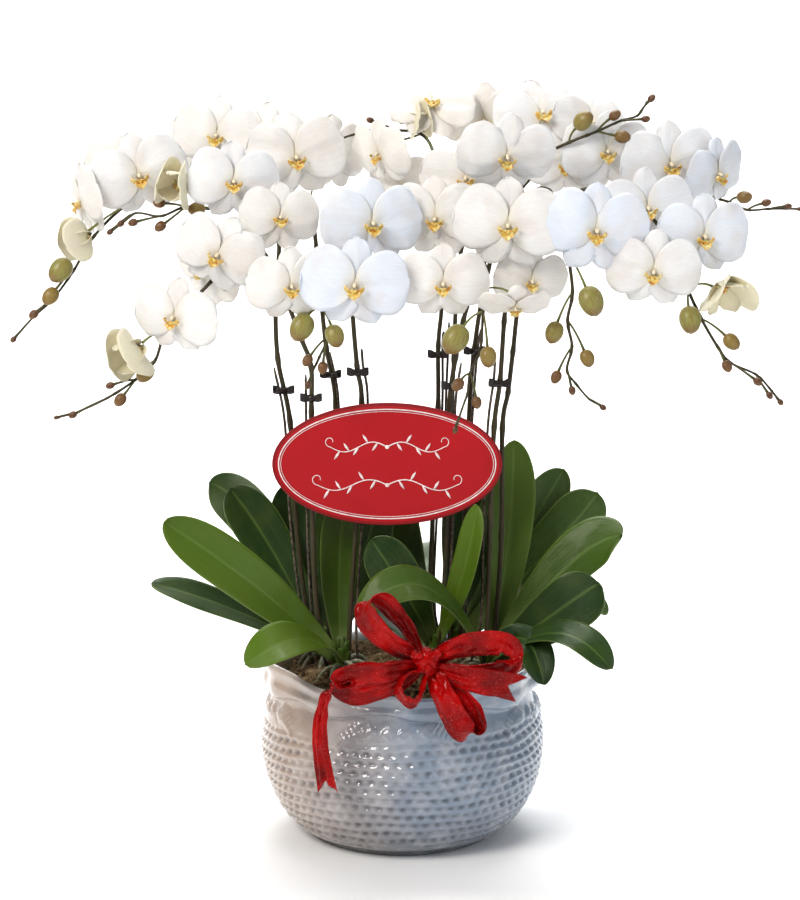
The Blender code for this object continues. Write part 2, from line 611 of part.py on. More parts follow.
# ================================================================ the whole object
def main():
    for thing in list(bpy.data.objects):
        bpy.data.objects.remove(thing)
    build_pot(material("glazed_ceramic", (0.78, 0.78, 0.80), 0.15))
    build_moss(material("dried_moss", (0.30, 0.22, 0.14), 0.95))
    bark = material("stem_green_brown", (0.10, 0.07, 0.04), 0.5)
    petal = material("white_petal", (0.88, 0.87, 0.85), 0.45)
    green = material("leaf_green", (0.10, 0.22, 0.04), 0.35)
    for name, (crown, spikes, leaves) in PLANTS.items():
        build_plant(name, crown, spikes, leaves, bark, petal, green)
    cane = material("stake_cane", (0.20, 0.16, 0.12), 0.7)
    clip = material("dark_clip", (0.03, 0.02, 0.02), 0.5)
    for crown, spikes, _ in PLANTS.values():
        for number in STAKES.keys() & set(spikes):
            build_stake(number, crown, *STAKES[number], cane, clip)
    wire = material("tie_wire", (0.6, 0.6, 0.6), 0.3, metallic=1.0)
    for index, (number, height) in enumerate(CARD_TIES, start=1):
        build_card_tie(index, number, height, wire)
    build_card(material("red_card", (0.55, 0.01, 0.02), 0.4))
    build_bow(material("red_satin", (0.50, 0.01, 0.02), 0.3))


main()
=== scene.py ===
"""Dresses a gift pot of white moth orchids: glaze, moss, leaves, stems, buds, blossoms, clips, card and bow.

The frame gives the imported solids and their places. Tables are in millimetres, as in the model's own source,
and MM turns them into metres. The origin is the centre of the pot's foot, +Z is up and the show side
faces -Y.
"""

import itertools
import math
import random

import bmesh
import bpy
import numpy as np
from bpy.props import FloatProperty, FloatVectorProperty, IntProperty, PointerProperty
from mathutils import Matrix, Vector, noise


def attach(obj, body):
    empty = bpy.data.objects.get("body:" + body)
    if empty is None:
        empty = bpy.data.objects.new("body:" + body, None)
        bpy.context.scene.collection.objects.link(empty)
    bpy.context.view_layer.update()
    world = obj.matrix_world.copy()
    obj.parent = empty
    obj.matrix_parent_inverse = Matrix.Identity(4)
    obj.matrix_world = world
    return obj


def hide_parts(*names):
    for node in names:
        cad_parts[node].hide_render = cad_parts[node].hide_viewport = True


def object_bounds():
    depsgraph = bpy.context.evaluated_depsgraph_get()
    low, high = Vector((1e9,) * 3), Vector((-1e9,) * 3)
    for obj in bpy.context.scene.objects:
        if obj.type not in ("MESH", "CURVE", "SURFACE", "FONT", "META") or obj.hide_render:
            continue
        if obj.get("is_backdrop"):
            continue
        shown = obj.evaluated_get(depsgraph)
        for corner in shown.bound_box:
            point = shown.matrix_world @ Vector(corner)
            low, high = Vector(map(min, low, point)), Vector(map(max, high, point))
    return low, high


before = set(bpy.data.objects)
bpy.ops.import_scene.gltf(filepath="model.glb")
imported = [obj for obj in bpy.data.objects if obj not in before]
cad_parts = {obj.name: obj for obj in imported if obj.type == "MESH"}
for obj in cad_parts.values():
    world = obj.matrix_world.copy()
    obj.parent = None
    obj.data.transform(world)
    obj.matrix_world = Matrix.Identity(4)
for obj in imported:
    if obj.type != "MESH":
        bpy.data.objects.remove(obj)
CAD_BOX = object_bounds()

bl_info = {
    "name": "Potted Orchid Dressing",
    "version": (1, 0, 0),
    "blender": (4, 5, 0),
    "location": "View3D > Sidebar > Orchid",
    "description": "Builds the visible pieces of a gift pot of white moth orchids round its packed frame",
    "category": "Object",
}

MM = 0.001
UP = Vector((0, 0, 1))
GAP = 0.8
MARKS = ("along", "across", "tint", "side")  # numbers at every point, which the finishes read
PLAIN = (0.0, 0.0, 0.0, 0.0)

# ---------------------------------------------------------------- pot and moss
# The wall's outline, as (radius, height)
POT_OUTSIDE = [(86, 1.5), (89, 0), (104, 0.5), (107, 4), (124, 14), (142, 36), (154, 64), (160, 96),
               (159, 125), (154, 148), (149.5, 160), (148.5, 166), (151, 169), (156, 172), (157.5, 179),
               (155.5, 187), (158.5, 195), (157.5, 199.5), (153, 200)]
POT_INSIDE = [(147, 190), (143, 172), (143, 160), (147, 140), (151, 110), (145, 64), (133, 36), (100, 11)]
POT_TURNS = 600
NECK_HEIGHT = 165
RIM_HEIGHT = 197
RIM_WAVES = 9
RIM_WAVE_DEPTH = 2.5
RIM_SWAY = 8
PIT_SIZE = (4.6, 2.7)  # half length and half height of a pit
PIT_RISE = 10.4  # from one row of pits to the next
PIT_LIMITS = (12, 142)
PIT_RADIUS = 156  # of the wall where the pits' length is measured
RELIEF_DEPTH = 2.2
RELIEF_LINE = 1.7  # half width of a raised line
MOSS_EDGE_RADIUS = 137
MOSS_EDGE_HEIGHT = 180
MOSS_RISE = 24
MOSS_TURNS = 132
MOSS_SIDE = [(96, 13), (130, 40), (142, 80), (146, 110), (143, 140), (139, 158), (139, 170)]

# ---------------------------------------------------------------- spikes
STEM_FOOT_RADIUS = 2.9
STEM_TIP_RADIUS = 0.95
BUD_GIRTH = 0.39
# Each spike: the foot of its stem, the points that the stem passes, its blossoms as
# (centre, yaw, nod, roll, width) and its buds as (centre, length).
SPIKES = {
    1: {
        "foot": (-92, 0),
        "route": [(-108, -10, 255), (-120, -12, 360), (-125, -15, 470), (-138, -15, 540),
                  (-140, -12, 605), (-136, -5, 670), (-143, 5, 722), (-170, 12, 752), (-210, 15, 752),
                  (-260, 12, 733), (-305, 0, 708), (-338, -18, 675), (-360, -25, 638), (-383, -30, 607),
                  (-405, -30, 587), (-426, -30, 565)],
        "blossoms": [((-115, -38, 760), 10, 8, -8, 104), ((-203, -10, 783), -8, 4, 6, 96),
                     ((-285, -34, 741), 8, 12, -14, 102), ((-352, -12, 712), -62, 12, -6, 92),
                     ((-156, 34, 782), 4, -10, 10, 92), ((-250, 36, 764), -14, -6, -8, 94),
                     ((-318, 26, 742), -30, 6, 4, 90)],
        "buds": [((-352, -40, 673), 38), ((-373, -34, 639), 31), ((-384, -38, 611), 22),
                 ((-403, -36, 591), 12), ((-427, -30, 563), 8)],
    },
    2: {
        "foot": (-80, 8),
        "route": [(-85, 10, 255), (-80, 10, 375), (-75, 10, 485), (-85, 5, 550), (-90, 0, 600),
                  (-95, -2, 660), (-102, -8, 705), (-122, -18, 724), (-150, -25, 722), (-178, -34, 712),
                  (-207, -40, 706), (-235, -42, 708), (-262, -42, 698), (-290, -42, 701),
                  (-315, -42, 684)],
        "blossoms": [((-180, -74, 735), 6, 6, 0, 94), ((-75, 26, 764), 38, 4, 0, 95)],
        "buds": [((-243, -62, 733), 40), ((-222, -52, 706), 20), ((-263, -44, 712), 14),
                 ((-262, -46, 687), 14), ((-292, -42, 691), 11), ((-305, -44, 690), 9),
                 ((-317, -42, 681), 8)],
    },
    3: {
        "foot": (-76, -44),
        "route": [(-95, -42, 260), (-100, -45, 385), (-100, -45, 485), (-100, -48, 535), (-110, -50, 565),
                  (-130, -52, 618), (-145, -55, 652), (-160, -58, 668), (-180, -62, 655),
                  (-205, -68, 630), (-232, -75, 602), (-255, -80, 575), (-266, -84, 545),
                  (-287, -85, 525), (-318, -85, 505), (-350, -85, 490), (-371, -85, 484)],
        "blossoms": [((-131, -78, 697), 14, 0, 4, 84), ((-196, -98, 659), -14, 14, 26, 96),
                     ((-241, -118, 594), -22, 10, 8, 92), ((-214, -52, 640), -40, 6, 30, 88)],
        "buds": [((-290, -100, 554), 42), ((-275, -98, 534), 24), ((-303, -92, 504), 16),
                 ((-314, -88, 519), 10), ((-355, -86, 487), 10), ((-373, -85, 484), 6)],
    },
    4: {
        "foot": (-61, -43),
        "route": [(-58, -42, 260), (-50, -42, 385), (-45, -42, 495), (-50, -42, 535), (-55, -42, 600),
                  (-56, -44, 650), (-60, -50, 695), (-66, -66, 716), (-74, -84, 706), (-79, -94, 675),
                  (-84, -100, 637), (-86, -105, 602), (-81, -108, 572), (-89, -110, 551),
                  (-96, -110, 536), (-100, -110, 524)],
        "blossoms": [((-32, -108, 692), 12, 6, 0, 104), ((-117, -131, 628), 14, 14, 0, 90),
                     ((-50, -146, 630), -2, 10, 4, 108)],
        "buds": [((-107, -116, 584), 32), ((-72, -116, 575), 26), ((-101, -116, 549), 14),
                 ((-85, -114, 541), 14), ((-101, -110, 522), 9)],
    },
    5: {
        "foot": (32, 4),
        "route": [(31, 18, 255), (35, 28, 375), (40, 30, 480), (40, 30, 550), (44, 30, 600),
                  (42, 32, 660), (40, 32, 720), (34, 26, 765), (20, 20, 786), (-8, 14, 790),
                  (-35, 6, 790), (-55, 0, 785), (-70, 0, 780)],
        "blossoms": [((32, -10, 818), 0, -36, 8, 90), ((-26, -24, 764), -46, 18, 4, 82),
                     ((-2, 4, 728), -30, 14, 0, 84)],
        "buds": [((18, -12, 801), 34), ((-2, 4, 803), 16), ((-14, -2, 777), 22), ((-27, 12, 779), 12),
                 ((-36, 10, 801), 9), ((-72, 0, 779), 7)],
    },
    6: {
        "foot": (41, -11),
        "route": [(45, -24, 255), (50, -36, 385), (51, -40, 490), (58, -42, 545), (66, -42, 585),
                  (79, -42, 630), (90, -44, 680), (95, -38, 720), (96, -40, 738), (92, -50, 722),
                  (88, -70, 696), (86, -94, 660), (90, -105, 625), (85, -108, 600), (82, -112, 560),
                  (71, -114, 535), (68, -118, 513), (56, -130, 482)],
        "blossoms": [((110, -84, 762), 6, 26, 4, 100), ((110, -116, 690), -4, 8, 2, 110),
                     ((35, -82, 696), -12, 10, 0, 98), ((42, -126, 630), 0, 14, 0, 92),
                     ((117, -138, 608), 4, 62, 0, 74), ((68, -52, 738), -8, 8, -4, 96)],
        "buds": [((55, -122, 572), 35), ((90, -118, 553), 23), ((58, -122, 524), 16),
                 ((78, -122, 505), 14), ((55, -134, 477), 8)],
    },
    7: {
        "foot": (90, -42),
        "route": [(94, -48, 255), (96, -52, 365), (100, -52, 470), (106, -52, 520), (110, -52, 585),
                  (115, -52, 640), (124, -52, 695), (139, -60, 724), (156, -75, 726), (169, -88, 695),
                  (175, -95, 660), (180, -98, 620), (175, -100, 590), (180, -100, 562), (175, -100, 537),
                  (185, -100, 522), (199, -100, 506), (211, -100, 499)],
        "blossoms": [((202, -122, 685), 4, 10, 4, 108), ((137, -84, 630), 14, 18, 0, 78)],
        "buds": [((199, -108, 611), 34), ((160, -108, 578), 25), ((196, -104, 550), 20),
                 ((163, -104, 530), 15), ((180, -108, 516), 10), ((214, -100, 497), 8)],
    },
    8: {
        "foot": (99, -30),
        "route": [(105, -22, 250), (110, -28, 345), (110, -30, 465), (116, -30, 505), (121, -30, 550),
                  (127, -30, 605), (141, -30, 670), (166, -33, 710), (205, -42, 728), (250, -56, 716),
                  (278, -68, 682), (298, -75, 648), (306, -78, 620), (320, -80, 590), (338, -80, 560),
                  (352, -80, 543), (380, -80, 530), (395, -80, 515), (404, -80, 503)],
        "blossoms": [((318, -100, 678), 10, 10, 0, 98), ((264, -112, 642), -6, 16, 6, 96),
                     ((262, -66, 706), 6, 4, -6, 96)],
        "buds": [((346, -86, 617), 40), ((306, -92, 590), 31), ((352, -86, 566), 21),
                 ((347, -90, 540), 14), ((381, -86, 523), 11), ((394, -86, 508), 9),
                 ((407, -80, 500), 8)],
    },
    9: {
        "foot": (66, 38),
        "route": [(69, 32, 250), (71, 24, 355), (74, 20, 455), (80, 20, 545), (95, 20, 635),
                  (122, 20, 712), (160, 16, 750), (215, 12, 762), (270, 6, 754), (315, 2, 733),
                  (340, 4, 718), (358, -12, 712), (376, -22, 704), (400, -20, 705), (430, -20, 705)],
        "blossoms": [((222, -22, 766), 8, 8, 0, 94), ((290, -32, 752), 12, 8, -6, 104),
                     ((342, -30, 742), 40, 14, -8, 86), ((180, -4, 752), -10, 10, 8, 92)],
        "buds": [((372, -24, 718), 18), ((396, -24, 712), 11), ((420, -22, 708), 9),
                 ((433, -20, 705), 6)],
    },
    10: {
        "foot": (57, 49),
        "route": [(56, 50, 255), (55, 50, 370), (56, 46, 475), (58, 42, 535), (60, 38, 595),
                  (66, 40, 660), (78, 44, 715), (96, 50, 742), (122, 38, 755), (148, -6, 762),
                  (180, -30, 777), (210, -34, 789), (235, -32, 800), (254, -30, 806), (263, -32, 820)],
        "blossoms": [((90, 24, 800), -6, 10, 0, 90), ((152, 0, 806), 16, -22, -8, 102),
                     ((208, 12, 796), 22, -20, 6, 88)],
        "buds": [((194, -44, 800), 25), ((228, -40, 806), 14), ((237, -38, 783), 18),
                 ((261, -42, 802), 10), ((268, -34, 824), 10)],
    },
}
# How much cool light is painted on the white of each blossom, from the warm cream of warm light at 0 to the
# bluish white of cool light at 1, in the order of the blossoms.
PAINTED_COOL_LIGHT = {
    1: (0.15, 0.2, 0.4, 0.15, 0.1, 0.2, 0.1), 2: (0.45, 0.1), 3: (0.1, 0.2, 0.25, 0.1), 4: (0.85, 0.15, 0.9),
    5: (0, 0, 0.1), 6: (0.35, 0.2, 0.15, 0.15, 0, 0.2), 7: (1, 0.1), 8: (0.8, 0.3, 0.5),
    9: (0.4, 0.5, 0.75, 0.3), 10: (0.1, 0.35, 0.2),
}
YOUNG = -1.0  # coolness of an opening blossom, which the petals' finish shows as greenish cream
# Buds that are opening: (spike, place in its buds) to
# (yaw, nod, roll, width, slope at the foot, slope at the tips).
OPENING = {
    (1, 0): (-50, 20, 0, 74, 44, 108),
    (2, 0): (-20, 12, 10, 84, 36, 100),
    (3, 0): (-24, 22, -20, 90, 34, 104),
    (5, 0): (14, 8, 0, 66, 52, 100),
    (8, 0): (26, 52, -8, 84, 46, 44),
}

# ---------------------------------------------------------------- leaves
# (middle, tip, width, direction that its upper face looks, lightness of its green)
LEAVES = {
    "far_left_high": ((-162, 62, 332), (-226, 92, 384), 56, (-0.2, -1, 0.5), 0.2),
    "left_high": ((-148, 26, 318), (-197, 40, 386), 56, (0.2, -1, 0.3), 0.1),
    "left_broad": ((-160, -82, 300), (-257, -100, 373), 62, (0.1, -0.9, 0.8), 0.8),
    "left_low": ((-190, -72, 274), (-272, -95, 305), 38, (-0.2, -0.7, 1), 0.15),
    "left_over_rim": ((-108, -140, 258), (-166, -182, 236), 50, (0, -0.9, 1), 0.95),
    "left_upright": ((-71, -18, 300), (-64, -12, 388), 46, (0.3, -1, 0), 0.5),
    "left_inner": ((-46, 28, 300), (-20, 44, 392), 46, (0.2, -1, 0.1), 0.2),
    "left_behind": ((-116, 62, 300), (-132, 84, 384), 58, (0, -1, 0.2), 0.05),
    "left_middle": ((-78, 56, 306), (-66, 80, 398), 60, (0.1, -1, 0.1), 0.15),
    "left_rear": ((-110, 124, 292), (-128, 178, 286), 58, (-0.2, 0.4, 1), 0.3),
    "front_arch": ((26, -136, 312), (-50, -156, 284), 46, (0.3, -0.8, 1), 0.55),
    "inner_dark": ((2, -56, 290), (-34, -60, 346), 54, (0, -1, 0.4), 0.1),
    "inner_tall": ((-4, 44, 300), (-18, 76, 392), 64, (0, -1, 0.1), 0.1),
    "inner_edge_on": ((62, -66, 300), (80, -68, 386), 32, (-0.7, -1, 0.1), 0.9),
    "middle_rear": ((12, 110, 300), (6, 180, 290), 60, (0.1, 0.4, 1), 0.3),
    "inner_low": ((-12, 60, 258), (-16, 112, 330), 68, (0, -0.8, 0.8), 0.0),
    "right_upright": ((120, -4, 330), (125, 6, 446), 50, (0, -1, 0.1), 0.75),
    "right_broad": ((182, -42, 316), (240, -60, 352), 64, (0, -0.8, 0.9), 0.45),
    "right_dark": ((165, -78, 264), (214, -88, 302), 62, (0.1, -1, 0.3), 0.1),
    "right_over_rim": ((166, -116, 258), (223, -146, 222), 42, (0, -0.6, 1), 0.15),
    "right_short": ((132, -92, 244), (152, -128, 200), 44, (0.4, -1, 0.6), 0.05),
    "right_high": ((138, 66, 322), (188, 92, 400), 50, (0.2, -1, 0.4), 0.35),
    "far_right_high": ((168, 50, 314), (226, 72, 376), 60, (0, -1, 0.5), 0.4),
    "far_right_low": ((176, 66, 258), (238, 56, 236), 34, (0, -0.5, 1), 0.3),
    "right_behind": ((74, 92, 306), (80, 112, 402), 60, (0, -1, 0.1), 0.05),
    "right_between": ((104, 74, 300), (118, 92, 388), 54, (0.1, -1, 0.2), 0.2),
    "right_rear": ((128, 124, 276), (184, 158, 256), 56, (0.3, 0.4, 1), 0.3),
}
LEAF_THICKNESS = 2.4
LEAF_CHANNEL = 0.12
LEAF_ROWS = 34
LEAF_COLUMNS = 14
LEAF_ROOT_HEIGHT = 13
LEAF_ROOT_RADIUS = 4
LEAF_WIDEST = 0.68

# Each plant: its crown's (x, y), its spikes and its leaves.
PLANTS = {
    "orchid_left_back": ((-86, 4), (1, 2), (
        "far_left_high", "left_high", "left_inner", "left_rear", "left_behind", "left_middle",
    )),
    "orchid_left_front": ((-68, -44), (3, 4), (
        "left_broad", "left_low", "left_over_rim", "left_upright",
    )),
    "orchid_middle": ((36, -4), (5, 6), (
        "inner_dark", "inner_edge_on", "inner_low", "middle_rear", "inner_tall",
    )),
    "orchid_right_front": ((94, -36), (7, 8), (
        "front_arch", "right_upright", "right_broad", "right_dark", "right_over_rim", "right_short",
    )),
    "orchid_right_back": ((62, 44), (9, 10), (
        "right_high", "far_right_high", "far_right_low", "right_rear", "right_behind", "right_between",
    )),
}

# ---------------------------------------------------------------- stakes, clips and ties
# Each stake, by its spike: the direction from the stem to it, in degrees, and the height of its clip.
STAKES = {
    1: (215, 505), 2: (300, 520), 3: (150, 500), 4: (20, 528), 5: (45, 540),
    6: (340, 513), 7: (180, 517), 9: (300, 545), 10: (180, 550),
}
STAKE_RADIUS = 1.5
STAKE_FROM_STEM = 7
STAKE_FROM_CROWN = 19
STAKE_LOWEST_BEND = 240
STAKE_ABOVE_CLIP = 26
CARD_TIES = [(3, 452), (6, 470)]  # (spike, height)

# ---------------------------------------------------------------- card and bow
CARD_CENTRE = (-17, -64, 430)
CARD_SIZE = (251, 135)
CARD_THICKNESS = 2
CARD_TURNS = 160
CARD_BORDERS = ((7.2, 0.75), (9.6, 0.35))  # (distance in from the edge, half width of the line)
RIBBON_THICKNESS = 0.45
KNOT_CENTRE = (25, 0, 241)
# Each strip of ribbon: the points that its middle passes, the direction across it at its first and last
# point, and its width at the points, as shares of the ribbon's width.
RIBBON_STRIPS = {
    "bow_top_loop": (
        [(19, -180, 239), (0, -189, 252), (-21, -194, 267), (-36, -196, 286), (-39, -193, 302),
         (-25, -188, 307), (-8, -183, 291), (7, -178, 269), (18, -174, 244)],
        (0.55, -0.4, 0.75), (0.75, -0.55, 0.35), (0.4, 0.7, 0.85, 0.85, 0.8, 0.75, 0.7, 0.6, 0.35),
    ),
    "bow_left_loop": (
        [(16, -180, 233), (-1, -190, 233), (-21, -195, 230), (-45, -197, 229), (-61, -196, 224),
         (-62, -192, 212), (-50, -188, 205), (-26, -183, 207), (-1, -180, 217), (18, -176, 228)],
        (0.1, -0.35, 0.95), (0.15, -0.35, 0.95), (0.4, 0.65, 0.75, 0.8, 0.78, 0.75, 0.75, 0.7, 0.6, 0.35),
    ),
    "bow_middle_loop": (
        [(19, -183, 230), (3, -191, 227), (-5, -196, 215), (0, -198, 203), (11, -198, 198),
         (19, -196, 206), (23, -190, 218), (24, -183, 229)],
        (0.3, -0.8, 0.55), (0.2, -0.75, 0.6), (0.35, 0.5, 0.55, 0.6, 0.6, 0.55, 0.45, 0.35),
    ),
    "bow_right_loop": (
        [(31, -182, 240), (48, -191, 252), (67, -197, 260), (90, -199, 263), (108, -198, 259),
         (112, -194, 246), (106, -189, 232), (87, -186, 225), (59, -183, 225), (33, -178, 232)],
        (0.05, -0.35, 0.95), (0.1, -0.35, 0.95), (0.4, 0.6, 0.8, 0.85, 0.8, 0.75, 0.8, 0.85, 0.7, 0.35),
    ),
    "bow_right_tail": (
        [(31, -185, 232), (53, -194, 227), (77, -199, 223), (101, -199, 219), (124, -194, 212)],
        (0.1, -0.3, 1), (0.3, -0.3, 1), (0.4, 0.7, 0.85, 0.9, 0.9),
    ),
    "bow_lower_loop": (
        [(31, -185, 229), (38, -194, 215), (47, -199, 197), (57, -202, 178), (68, -201, 166),
         (76, -197, 172), (70, -192, 188), (56, -186, 206), (38, -180, 227)],
        (0.85, -0.4, 0.45), (0.85, -0.4, 0.5), (0.4, 0.7, 0.85, 0.9, 0.85, 0.8, 0.85, 0.7, 0.35),
    ),
    "bow_left_tail": (
        [(-50, -185, 214), (-65, -192, 214), (-77, -195, 210), (-84, -195, 194), (-87, -194, 174),
         (-87, -191, 152), (-84, -186, 126), (-80, -180, 95)],
        (0.4, -0.5, 0.75), (0.95, -0.3, 0.1), (0.6, 0.6, 0.5, 0.42, 0.44, 0.48, 0.55, 0.6),
    ),
}


# ================================================================ curves
def smooth_path(points, per_span):
    """Points along the smooth curve that passes through all of the given ones."""
    given = [Vector(p) for p in points]
    padded = [2 * given[0] - given[1], *given, 2 * given[-1] - given[-2]]
    path = []
    for a, b, c, d in zip(padded, padded[1:], padded[2:], padded[3:]):
        for step in range(per_span):
            t = step / per_span
            square = 2 * a - 5 * b + 4 * c - d
            cube = 3 * b - a - 3 * c + d
            path.append(0.5 * (2 * b + (c - a) * t + square * t**2 + cube * t**3))
    return [*path, given[-1]]


def tangents(path):
    """Unit directions along a path, one for each of its points."""
    ahead = [*path[1:], 2 * path[-1] - path[-2]]
    behind = [2 * path[0] - path[1], *path[:-1]]
    return [(a - b).normalized() for a, b in zip(ahead, behind)]


def bend(start, control, end, steps):
    """Points along a curve that leaves start towards control and reaches end coming from it."""
    ts = [i / steps for i in range(steps + 1)]
    return [(1 - t) ** 2 * start + 2 * t * (1 - t) * control + t**2 * end for t in ts]


def nearest(path, point):
    """Index of the path's point that lies nearest to the given one."""
    return min(range(len(path)), key=lambda i: (path[i] - point).length)


def moss_height(x, y):
    """Height of the moss's domed top."""
    return MOSS_EDGE_HEIGHT + MOSS_RISE * (1 - (x * x + y * y) / MOSS_EDGE_RADIUS**2)


def stem_path(number, per_span=1):
    """The line of one spike's stem, from inside its plant's crown."""
    x, y = SPIKES[number]["foot"]
    points = [Vector(point) for point in [(x, y, moss_height(x, y) + 9), *SPIKES[number]["route"]]]
    return smooth_path(points, per_span) if per_span > 1 else points


def facing(yaw, nod, roll):
    """Rotation of a blossom that is modelled face up towards -Y."""
    turned = Matrix.Rotation(math.radians(yaw), 3, "Z") @ Matrix.Rotation(math.radians(nod), 3, "X")
    return turned @ Matrix.Rotation(math.radians(roll), 3, "Y")


# ================================================================ skins
def grid_normals(rows, upper):
    """A unit normal for each point of a grid, on the side that upper points to."""
    tall, wide = len(rows), len(rows[0])
    found, total = [], Vector()
    for i in range(tall):
        line = []
        for j in range(wide):
            side = rows[i][min(j + 1, wide - 1)] - rows[i][max(j - 1, 0)]
            ahead = rows[min(i + 1, tall - 1)][j] - rows[max(i - 1, 0)][j]
            normal = side.cross(ahead)
            normal = normal.normalized() if normal.length > 1e-9 else Vector(upper)
            total += normal
            line.append(normal)
        found.append(line)
    sign = 1 if total.dot(upper) > 0 else -1
    return [[n * sign for n in line] for line in found]


class Skin:
    """Gathers closed bodies into one mesh, with the MARKS at every point."""

    def __init__(self):
        self.points, self.marks, self.faces = [], [], []

    def lay(self, rows, marks, ring=False):
        """Joins rows of points with quads, and returns the number of the first point."""
        first, wide = len(self.points), len(rows[0])
        for row, mark in zip(rows, marks):
            self.points += row
            self.marks += mark
        for i, j in itertools.product(range(len(rows) - 1), range(wide if ring else wide - 1)):
            a = first + i * wide + j
            b = first + i * wide + (j + 1) % wide
            self.faces.append((a, b, b + wide, a + wide))
        return first

    def tube(self, path, radii, sides, tint=0.0, swell=None):
        """A round bar along a path, closed at both ends; swell gives the radius a share for each turn."""
        across = tangents(path)[0].orthogonal().normalized()
        rings, marks = [], []
        last = len(path) - 1
        for i, (point, direction, radius) in enumerate(zip(path, tangents(path), radii)):
            across = (across - across.dot(direction) * direction).normalized()
            beside = direction.cross(across)
            ring = []
            for j in range(sides):
                turn = math.tau * j / sides
                reach = radius * (swell(turn) if swell else 1)
                ring.append(point + reach * (math.cos(turn) * across + math.sin(turn) * beside))
            rings.append(ring)
            marks.append([(i / last, j / sides, tint, 0.0) for j in range(sides)])
        first = self.lay(rings, marks, ring=True)
        self.faces.append(tuple(range(first, first + sides)))
        self.faces.append(tuple(range(first + last * sides, first + (last + 1) * sides)))

    def hoop(self, sections):
        """A closed loop through sections of equal point counts."""
        first, count, wide = len(self.points), len(sections), len(sections[0])
        for section in sections:
            self.points += section
            self.marks += [PLAIN] * wide
        for i, j in itertools.product(range(count), range(wide)):
            here, ahead = first + i * wide, first + (i + 1) % count * wide
            beside = (j + 1) % wide
            self.faces.append((here + j, here + beside, ahead + beside, ahead + j))

    def shell(self, rows, thickness, marks, upper, edge=0.45):
        """A closed sheet whose front is the grid of rows; its border thins to edge of its thickness."""
        tall, wide = len(rows), len(rows[0])
        normals = grid_normals(rows, upper)
        back = []
        for i in range(tall):
            thin = [edge if i in (0, tall - 1) or j in (0, wide - 1) else 1 for j in range(wide)]
            back.append([rows[i][j] - normals[i][j] * thickness * thin[j] for j in range(wide)])
        front = self.lay(rows, marks)
        rear = self.lay(back, [[(a, c, t, 1.0) for a, c, t, _ in row] for row in marks])
        border = [*range(wide), *[i * wide + wide - 1 for i in range(1, tall)]]
        border += [(tall - 1) * wide + j for j in range(wide - 2, -1, -1)]
        border += [i * wide for i in range(tall - 2, 0, -1)]
        for a, b in zip(border, [*border[1:], border[0]]):
            self.faces.append((front + b, front + a, rear + a, rear + b))

    def lump(self, centre, size, turn, tint, rough, seed):
        """A rough pebble-like body: a ball of the given half sizes, turned and knobbly."""
        rings, marks = [], []
        for i in range(1, 6):
            lean = math.pi * i / 6
            ring = []
            for j in range(9):
                spin = math.tau * j / 9
                flat = math.sin(lean)
                out = Vector((flat * math.cos(spin), flat * math.sin(spin), math.cos(lean)))
                reach = 1 + rough * noise.noise(out * 2.3 + Vector((seed, 0, 0)))
                stretched = Vector((out.x * size[0], out.y * size[1], out.z * size[2]))
                ring.append(centre + turn @ stretched * reach)
            rings.append(ring)
            marks.append([(i / 6, j / 9, tint, 0.0) for j in range(9)])
        first = self.lay(rings, marks, ring=True)
        self.faces.append(tuple(range(first, first + 9)))
        self.faces.append(tuple(range(first + 36, first + 45)))


def piece(name, skin, material, nodes, crease=None):
    """One visible piece: the skin's mesh, its finish, and what the frame has to know about it."""
    data = bpy.data.meshes.new(name)
    data.from_pydata([point * MM for point in skin.points], [], skin.faces)
    for k, mark in enumerate(MARKS):
        attribute = data.attributes.new(mark, "FLOAT", "POINT")
        attribute.data.foreach_set("value", [marks[k] for marks in skin.marks])
    mesh = bmesh.new()
    mesh.from_mesh(data)
    bmesh.ops.recalc_face_normals(mesh, faces=mesh.faces)
    mesh.to_mesh(data)
    mesh.free()
    data.shade_smooth()
    if crease:
        data.set_sharp_from_angle(angle=math.radians(crease))
    data.materials.append(material)
    made = bpy.data.objects.new(name, data)
    bpy.context.scene.collection.objects.link(made)
    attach(made, "root")
    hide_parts(*nodes)
    return made


# ================================================================ finishes
def finish(name, **values):
    """A Principled material and its shader; values are set on the shader's own sockets."""
    made = bpy.data.materials.new(name)
    made.use_nodes = True
    shader = made.node_tree.nodes["Principled BSDF"]
    for key, value in values.items():
        shader.inputs[key.replace("_", " ")].default_value = value
    return made, made.node_tree, shader


def add(tree, kind, settings=None, **inputs):
    """A node of that kind. An input that is given a socket is linked, and any other is set."""
    made = tree.nodes.new("ShaderNode" + kind)
    for key, value in (settings or {}).items():
        setattr(made, key, value)
    for key, value in inputs.items():
        socket = made.inputs[key.replace("_", " ")]
        if isinstance(value, bpy.types.NodeSocket):
            tree.links.new(value, socket)
        else:
            socket.default_value = value
    return made


def mark(tree, name):
    """The value of one of the MARKS."""
    return add(tree, "Attribute", {"attribute_name": name}).outputs["Fac"]


def sums(tree, operation, *values):
    """The result of one Math node."""
    made = tree.nodes.new("ShaderNodeMath")
    made.operation = operation
    for socket, value in zip(made.inputs, values):
        if isinstance(value, bpy.types.NodeSocket):
            tree.links.new(value, socket)
        else:
            socket.default_value = value
    return made.outputs[0]


def ramp(tree, factor, stops):
    """Colours along a factor: each stop is (position, colour)."""
    made = tree.nodes.new("ShaderNodeValToRGB")
    made.color_ramp.interpolation = "EASE"
    elements = made.color_ramp.elements
    while len(elements) < len(stops):
        elements.new(0.5)
    for element, (position, colour) in zip(elements, stops):
        element.position = position
        element.color = (*colour, 1)
    tree.links.new(factor, made.inputs["Fac"])
    return made.outputs["Color"]


def grey(*stops):
    """Ramp stops of plain greys."""
    return [(position, (value,) * 3) for position, value in stops]


